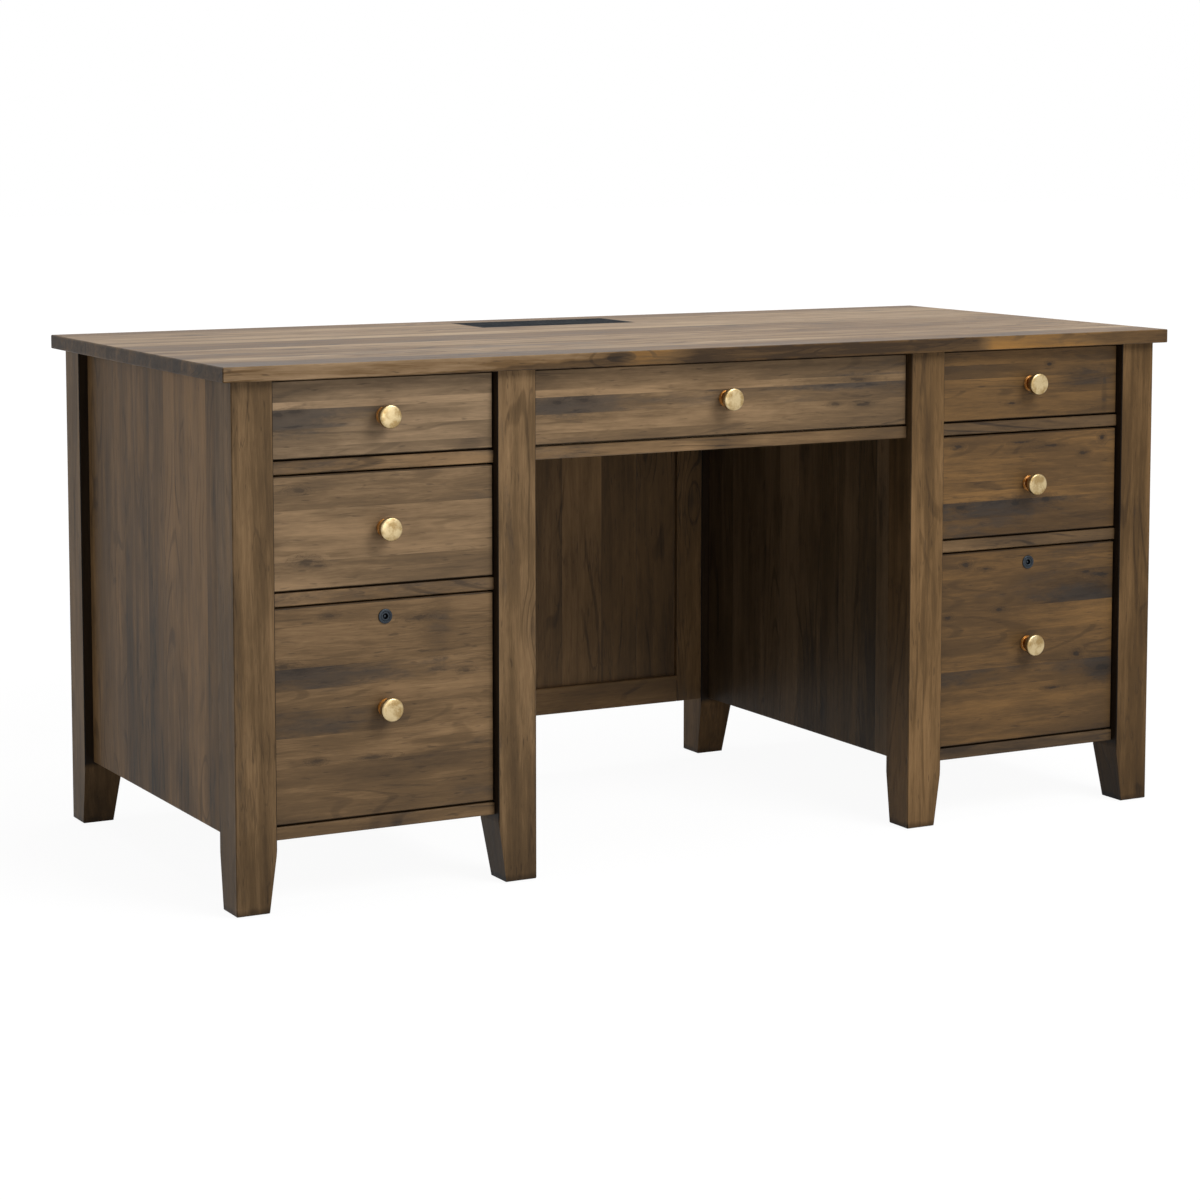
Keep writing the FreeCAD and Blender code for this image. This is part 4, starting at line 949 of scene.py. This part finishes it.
for side in ("left", "right"):
    low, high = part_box(f"lock_barrel_{side}")
    plug_low, plug_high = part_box(f"lock_plug_{side}")
    front_low, front_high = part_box(f"front_{side}_file")
    middle = (low + high) / 2
    face = Vector((middle.x, front_low.y, middle.z))
    tail = front_low.y - high.y
    housing = bmesh.new()
    ring = [(BORE, tail), (BARREL, tail), (BARREL, 0.0), (BEZEL, 0.0), (BEZEL, 0.7 * MM)]
    ring += arc((BEZEL - 1.2 * MM, BEZEL_THICK - 1.2 * MM), 1.2 * MM, 0, 90, 6)
    ring += [(BORE + 1.0 * MM, BEZEL_THICK), (BORE + 0.6 * MM, BEZEL_THICK - 0.5 * MM),
             (BORE, BEZEL_THICK - 0.5 * MM), (BORE, tail)]
    spin(housing, ring, face)
    nut = [(NUT_BORE, 0.0), (NUT, 0.0), (NUT, -NUT_THICK + 0.8 * MM), (NUT * 0.94, -NUT_THICK),
           (NUT_BORE, -NUT_THICK), (NUT_BORE, 0.0)]
    spin(housing, nut, Vector((middle.x, front_high.y, middle.z)), 6)
    put(f"lock_housing_{side}", closed_mesh(housing), f"drawer_{side}_file", dark_metal,
        f"lock_barrel_{side}")
    cylinder = bmesh.new()
    nose = front_low.y - plug_low.y
    shank = nose - (plug_high.y - plug_low.y) + CAM_THICK
    plug = [(0.0, nose - 2.2 * MM), (KEY_POST - 0.3 * MM, nose - 2.2 * MM), (KEY_POST, nose - 2.5 * MM),
            (KEY_POST, nose - KEY_DEPTH), (KEY_RING, nose - KEY_DEPTH), (KEY_RING, nose - 0.3 * MM),
            (KEY_RING + 0.35 * MM, nose), (PLUG - 0.4 * MM, nose), (PLUG, nose - 0.4 * MM), (PLUG, shank),
            (0.0, shank)]
    spin(cylinder, plug, face, 48, notch=(KEY_RING, KEY_NOTCH, 2))
    add_cam(cylinder, middle, plug_high.y - CAM_THICK, plug_high.y, plug_high.x - plug_low.x,
            (plug_high.z - plug_low.z) / 2)
    put(f"lock_cylinder_{side}", closed_mesh(cylinder), f"lock_{side}", dark_metal, f"lock_plug_{side}")
print("locks", [round(v / MM, 1) for v in face], "tail", round(tail / MM, 1), "shank", round(shank / MM, 1))

# %% [markdown]
# ## Screw heads
# Small pan-head screws hold the pedestal backs and the drawers' slide runners. Each is the same shape at many places,
# which is what Geometry Nodes are for: the points carry the direction that a head looks in, one tree puts a domed head
# with a crossed recess on each point, and the result is turned into a plain mesh for each body. The recess is not cut:
# two dark bars on the dome paint its shade.

# %% The screw tree
# painted shade: a near-black material stands in for the shade in screw recesses and pin holes
g, finish = new_material("screw_recess")
pits = g.noise(g.coordinate("Object"), 2400)
hole_shade = finish(g.mix(pits, colour(18, 18, 19), colour(34, 33, 32)), 0.7)

screw_tree, ins, give = new_group("Screw heads", "GeometryNodeTree", [
    ("Points", "geometry"), ("Radius", "value", 3 * MM), ("Dome", "value", 0.45), ("Head", "material"),
    ("Recess", "material"),
], [("Geometry", "geometry")])
g = screw_tree
dome = g.wire("GeometryNodeMeshUVSphere", {"Segments": 16, "Rings": 8, "Radius": 1.0})
dome = g.wire("GeometryNodeTransform", {"Geometry": dome, "Scale": g.join(1.0, 1.0, ins["Dome"])})
dome = g.wire("GeometryNodeSetShadeSmooth", {"Geometry": dome})
bars, heads = g.node("GeometryNodeJoinGeometry"), g.node("GeometryNodeJoinGeometry")
lift = g.join(0.0, 0.0, ins["Dome"] - 0.08)
for size in ((1.0, 0.2, 0.2), (0.2, 1.0, 0.2)):
    bar = g.wire("GeometryNodeMeshCube", {"Size": size})
    g.feed(bars, {0: g.wire("GeometryNodeTransform", {"Geometry": bar, "Translation": lift})})
facing = g.wire("GeometryNodeInputNamedAttribute", {"Name": "facing"}, data_type="FLOAT_VECTOR")
aligned = g.wire("FunctionNodeAlignRotationToVector", {"Vector": facing}, axis="Z")
for shape, look in ((dome, ins["Head"]), (Wire(g, bars.outputs[0]), ins["Recess"])):
    placed = g.wire("GeometryNodeInstanceOnPoints", {
        "Points": ins["Points"], "Instance": shape, "Rotation": aligned,
        "Scale": g.join(ins["Radius"], ins["Radius"], ins["Radius"])})
    real = g.wire("GeometryNodeRealizeInstances", {"Geometry": placed})
    g.feed(heads, {0: g.wire("GeometryNodeSetMaterial", {"Geometry": real, "Material": look})})
give(Geometry=Wire(g, heads.outputs[0]))
print("screw tree", len(g.tree.nodes), "nodes")

# %% [markdown]
# A modifier runs a tree on a mesh of bare points. Its result is copied as a plain mesh, because an export drops
# instances, and the helper object is then removed.

# %% From points to a plain mesh
def grown(name, points, tree, facings=None, **values):
    """Runs a geometry tree on a set of points and returns the result as a plain mesh."""
    seed_mesh = bpy.data.meshes.new(f"{name}_points")
    seed_mesh.from_pydata(points, [], [])
    if facings:
        layer = seed_mesh.attributes.new("facing", "FLOAT_VECTOR", "POINT")
        layer.data.foreach_set("vector", [part for facing in facings for part in facing])
    holder = link(f"{name}_seed", seed_mesh)
    modifier = holder.modifiers.new("grow", "NODES")
    modifier.node_group = tree
    for item in tree.interface.items_tree:
        if item.in_out == "INPUT" and item.name in values:
            modifier[item.identifier] = values[item.name]
    holder.data.update()
    evaluated = holder.evaluated_get(bpy.context.evaluated_depsgraph_get())
    mesh = bpy.data.meshes.new_from_object(evaluated)
    holder.modifiers.remove(modifier)
    bpy.data.objects.remove(holder)
    bpy.data.meshes.remove(seed_mesh)
    return mesh


def spread(start, end, inset, count):
    """Evenly spaced places between two ends, the first and the last an inset away from them."""
    return [start + inset + (end - start - 2 * inset) * number / (count - 1) for number in range(count)]


def put_screws(name, places, facings, body, **sizes):
    mesh = grown(name, places, screw_tree.tree, facings, Head=steel, Recess=hole_shade, **sizes)
    put(name, mesh, body)
    print(name, len(places), "triangles", sum(len(face.vertices) - 2 for face in mesh.polygons))


print("screws ready")

# %% [markdown]
# A back is screwed to both rear legs in a row from top to bottom. A runner is screwed to the side of its drawer box at
# even steps. Their places come from the boxes of the nodes that they hold, so they follow the CAD model.

# %% Screws of the pedestal backs and the drawer runners
BACK_INSET, BACK_ROWS = 12 * MM, 6
RUNNER_WEB, RUNNER_INSET, RUNNER_SCREWS = 1.2 * MM, 45 * MM, 4
low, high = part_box("pedestal_backs")
places = []
for side in ("left", "right"):
    legs = [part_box(f"leg_{side}_{place}_rear") for place in ("outer", "inner")]
    start, end = sorted(corner.x for box in legs for corner in box)[1:3]
    places += [(x, high.y, z) for x in (start + BACK_INSET, end - BACK_INSET)
               for z in spread(low.z, high.z, BACK_INSET, BACK_ROWS)]
put_screws("back_screws", places, [(0, 1, 0)] * len(places), "carcass", Radius=3.4 * MM, Dome=0.42)

for drawer in FRONT_BOARDS:
    low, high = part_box(f"runner_{drawer}")
    box_low, box_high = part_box(f"box_{drawer}")
    places, facings = [], []
    for x, outward in ((box_low.x - RUNNER_WEB, -1), (box_high.x + RUNNER_WEB, 1)):
        places += [(x, y, (low.z + high.z) / 2) for y in spread(low.y, high.y, RUNNER_INSET, RUNNER_SCREWS)]
        facings += [(outward, 0, 0)] * RUNNER_SCREWS
    put_screws(f"runner_screws_{drawer}", places, facings, f"drawer_{drawer}", Radius=3.2 * MM, Dome=0.28)

# %% [markdown]
# ## Power sockets
# Under the lid of the cable well there are three round sockets. Each has a rim, a plate and two holes for the pins of a
# plug, with an earth clip above and below. They are turned shapes and small blocks on the black plate, and the holes
# are dark discs of painted shade.

# %% Socket faces
SOCKET_STEP, SOCKET_RADIUS, SOCKET_RECESS, SOCKET_DROP = 62 * MM, 16.6 * MM, 3 * MM, 20.75 * MM
PIN_STEP, PIN, CLIP_RISE, CLIP_SIZE = 9.5 * MM, 2.4 * MM, 11.6 * MM, (4.2 * MM, 1.4 * MM, 2.2 * MM, 1.0)
PLATE = [(0.0, 1.0 * MM), (13.4 * MM, 1.0 * MM), (14.2 * MM, 2.0 * MM), (15.4 * MM, 2.3 * MM)]
PLATE += arc((SOCKET_RADIUS - 0.8 * MM, 1.5 * MM), 0.8 * MM, 90, 0, 4) + [(SOCKET_RADIUS, 0.0), (0.0, 0.0)]
PIN_RIM = [(PIN, 0.0), (3.3 * MM, 0.0), (3.3 * MM, 0.4 * MM), (2.9 * MM, 0.7 * MM), (2.5 * MM, 0.5 * MM), (PIN, 0.0)]
PIN_HOLE = [(0.0, -0.3 * MM), (PIN, -0.3 * MM), (PIN, 0.15 * MM), (2.2 * MM, 0.2 * MM), (0.0, 0.1 * MM)]
low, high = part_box("socket_block")
faces, holes, clips = bmesh.new(), bmesh.new(), bmesh.new()
for step in (-1, 0, 1):
    centre = Vector((step * SOCKET_STEP, low.y + SOCKET_RECESS, high.z - SOCKET_DROP))
    spin(faces, PLATE, centre, 48)
    for pin in (-PIN_STEP, PIN_STEP):
        pin_place = centre + Vector((pin, -1.0 * MM, 0))
        spin(faces, PIN_RIM, pin_place, 20)
        spin(holes, PIN_HOLE, pin_place, 20)
    for rise in (-CLIP_RISE, CLIP_RISE):
        where = Matrix.Translation(centre + Vector((0, -1.2 * MM, rise)))
        bmesh.ops.create_cube(clips, size=1.0, matrix=where @ Matrix.Diagonal(CLIP_SIZE))
bmesh.ops.bevel(clips, geom=clips.edges, offset=0.3 * MM, segments=2, affect="EDGES")
put("socket_faces", closed_mesh(faces), "carcass", socket_plastic)
# painted shade: the pin holes are flat dark discs
put("pin_holes", closed_mesh(holes), "carcass", hole_shade)
put("earth_clips", closed_mesh(clips), "carcass", steel)
print("sockets", 3, "at height", centre.z)

# %% [markdown]
# ## Bristles in the lid
# Cables leave the well through a notch in the lid, which a brush closes. Each bristle is a thin tapered rod, tilted a
# little at random. A tree puts one on each point of three rows along the notch, with a fixed seed.

# %% The bristle tree
bristle_tree, ins, give = new_group("Bristles", "GeometryNodeTree", [
    ("Points", "geometry"), ("Length", "value", 9 * MM), ("Radius", "value", 0.3 * MM), ("Tilt", "value", 0.12),
    ("Seed", "whole", 3), ("Bristle", "material"),
], [("Geometry", "geometry")])
g = bristle_tree
rod = g.wire("GeometryNodeMeshCone", {"Vertices": 5, "Side Segments": 1, "Fill Segments": 1, "Depth": ins["Length"],
                                      "Radius Top": ins["Radius"] * 0.5, "Radius Bottom": ins["Radius"]})
most = g.join(ins["Tilt"] * 0.4, ins["Tilt"], 0.0)
tilt = g.wire("FunctionNodeRandomValue", {0: most * -1.0, 1: most, "Seed": ins["Seed"]}, data_type="FLOAT_VECTOR")
euler = g.wire("FunctionNodeEulerToRotation", {0: tilt + (math.radians(90), 0.0, 0.0)})
rods = g.wire("GeometryNodeInstanceOnPoints", {"Points": ins["Points"], "Instance": rod, "Rotation": euler})
real = g.wire("GeometryNodeRealizeInstances", {"Geometry": rods})
give(Geometry=g.wire("GeometryNodeSetMaterial", {"Geometry": real, "Material": ins["Bristle"]}))
print("bristle tree", len(g.tree.nodes), "nodes")

# %% [markdown]
# A single row of bristles would leave slits. Three rows lie one under the other, each a third of a step further along,
# and their tips stop just short of the frame so that the lid can swing.

# %% Bristles along the notch
NOTCH_HALF, NOTCH_DEPTH, BRISTLE_STEP, ROOT, TIP_GAP = 59.9 * MM, 9 * MM, 0.9 * MM, 0.8 * MM, 0.5 * MM
ROW_DROPS = (1.0 * MM, 1.7 * MM, 2.4 * MM)
low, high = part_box("well_lid")
places = [(-NOTCH_HALF + (step + 0.2 + 0.33 * row) * BRISTLE_STEP, low.y + NOTCH_DEPTH + ROOT, high.z - drop)
          for row, drop in enumerate(ROW_DROPS) for step in range(int(2 * NOTCH_HALF / BRISTLE_STEP))]
mesh = grown("lid_bristles", places, bristle_tree.tree, Length=NOTCH_DEPTH + ROOT - TIP_GAP, Radius=0.3 * MM, Tilt=0.1,
             Seed=3, Bristle=black_plastic)
put("lid_bristles", mesh, "lid")
print("bristles", len(places), "triangles", sum(len(face.vertices) - 2 for face in mesh.polygons))

# %% [markdown]
# ## Studio
# A white floor and soft lamps. The floor shows white to the camera but still takes the desk's shadow near it, so that
# the desk stands on it. Further away it is plain white, as the world behind it is.

# %% Floor and world
FLOOR_HALF, NEAR_FLOOR, FAR_FLOOR, PAPER_GLOW, WORLD_LIGHT = 30.0, 1.3, 2.8, 1.05, 0.11
WHITE = (1.0, 1.0, 1.0, 1.0)


def empty_graph(owner):
    owner.use_nodes = True
    owner.node_tree.nodes.clear()
    return Graph(owner.node_tree)


def seen_rays(graph):
    """1 for the rays that see the background, straight or by a reflection, and 0 for those that carry light."""
    path = graph.wires("ShaderNodeLightPath")
    return graph.largest(path["Is Camera Ray"], path["Is Glossy Ray"], path["Is Transmission Ray"])


corners = [(x * FLOOR_HALF, y * FLOOR_HALF, 0) for x, y in ((-1, -1), (1, -1), (1, 1), (-1, 1))]
floor_mesh = bpy.data.meshes.new("studio_floor")
floor_mesh.from_pydata(corners, [], [(0, 1, 2, 3)])
link("studio_floor", floor_mesh)
paper = bpy.data.materials.new("studio_paper")
g = empty_graph(paper)
matt = g.wire("ShaderNodeBsdfDiffuse", {"Color": (0.8, 0.8, 0.8, 1.0)})
glow = g.wire("ShaderNodeEmission", {"Color": WHITE, "Strength": PAPER_GLOW})
far = g.wire("ShaderNodeVectorMath", {0: g.coordinate("Object") * (1.0, 1.0, 0.0)}, "Value", operation="LENGTH")
whiteness = seen_rays(g) * g.fade(far, NEAR_FLOOR, FAR_FLOOR, 0.9, 1.0)
g.node("ShaderNodeOutputMaterial", {"Surface": g.wire("ShaderNodeMixShader", {0: whiteness, 1: matt, 2: glow})})
floor_mesh.materials.append(paper)

world = bpy.data.worlds.new("studio_world")
bpy.context.scene.world = world
g = empty_graph(world)
dim, white = (g.wire("ShaderNodeBackground", {"Color": WHITE, "Strength": light}) for light in (WORLD_LIGHT, 1.0))
g.node("ShaderNodeOutputWorld", {"Surface": g.wire("ShaderNodeMixShader", {0: seen_rays(g), 1: dim, 2: white})})
print("floor", 2 * FLOOR_HALF, "m wide")

# %% [markdown]
# The photograph's light is soft and comes mostly from the front right and from above. Four square lamps give that: a
# large key lamp, a softbox over the desktop, and two weak ones that keep the front and the left side from going dark.

# %% Lamps
LAMPS = {"key_lamp": ((1.2, -3.2, 3.3), (0, 0, 0.4), 2.0, 140), "top_softbox": ((0.0, 0.2, 3.4), (0, 0.1, 0), 2.6, 62),
         "front_softbox": ((0.2, -4.6, 1.0), (-0.2, 0, 0.5), 1.2, 27),
         "left_softbox": ((-4.0, 0.3, 1.8), (-0.8, 0, 0.6), 1.4, 12)}
for name, (place, target, size, power) in LAMPS.items():
    lamp_data = bpy.data.lights.new(name, "AREA")
    lamp_data.size, lamp_data.energy = size, power
    lamp = link(name, lamp_data)
    lamp.location = place
    lamp.rotation_euler = (Vector(target) - Vector(place)).to_track_quat("-Z", "Y").to_euler()
    lamp.visible_camera = False
print("lamps", len(LAMPS))
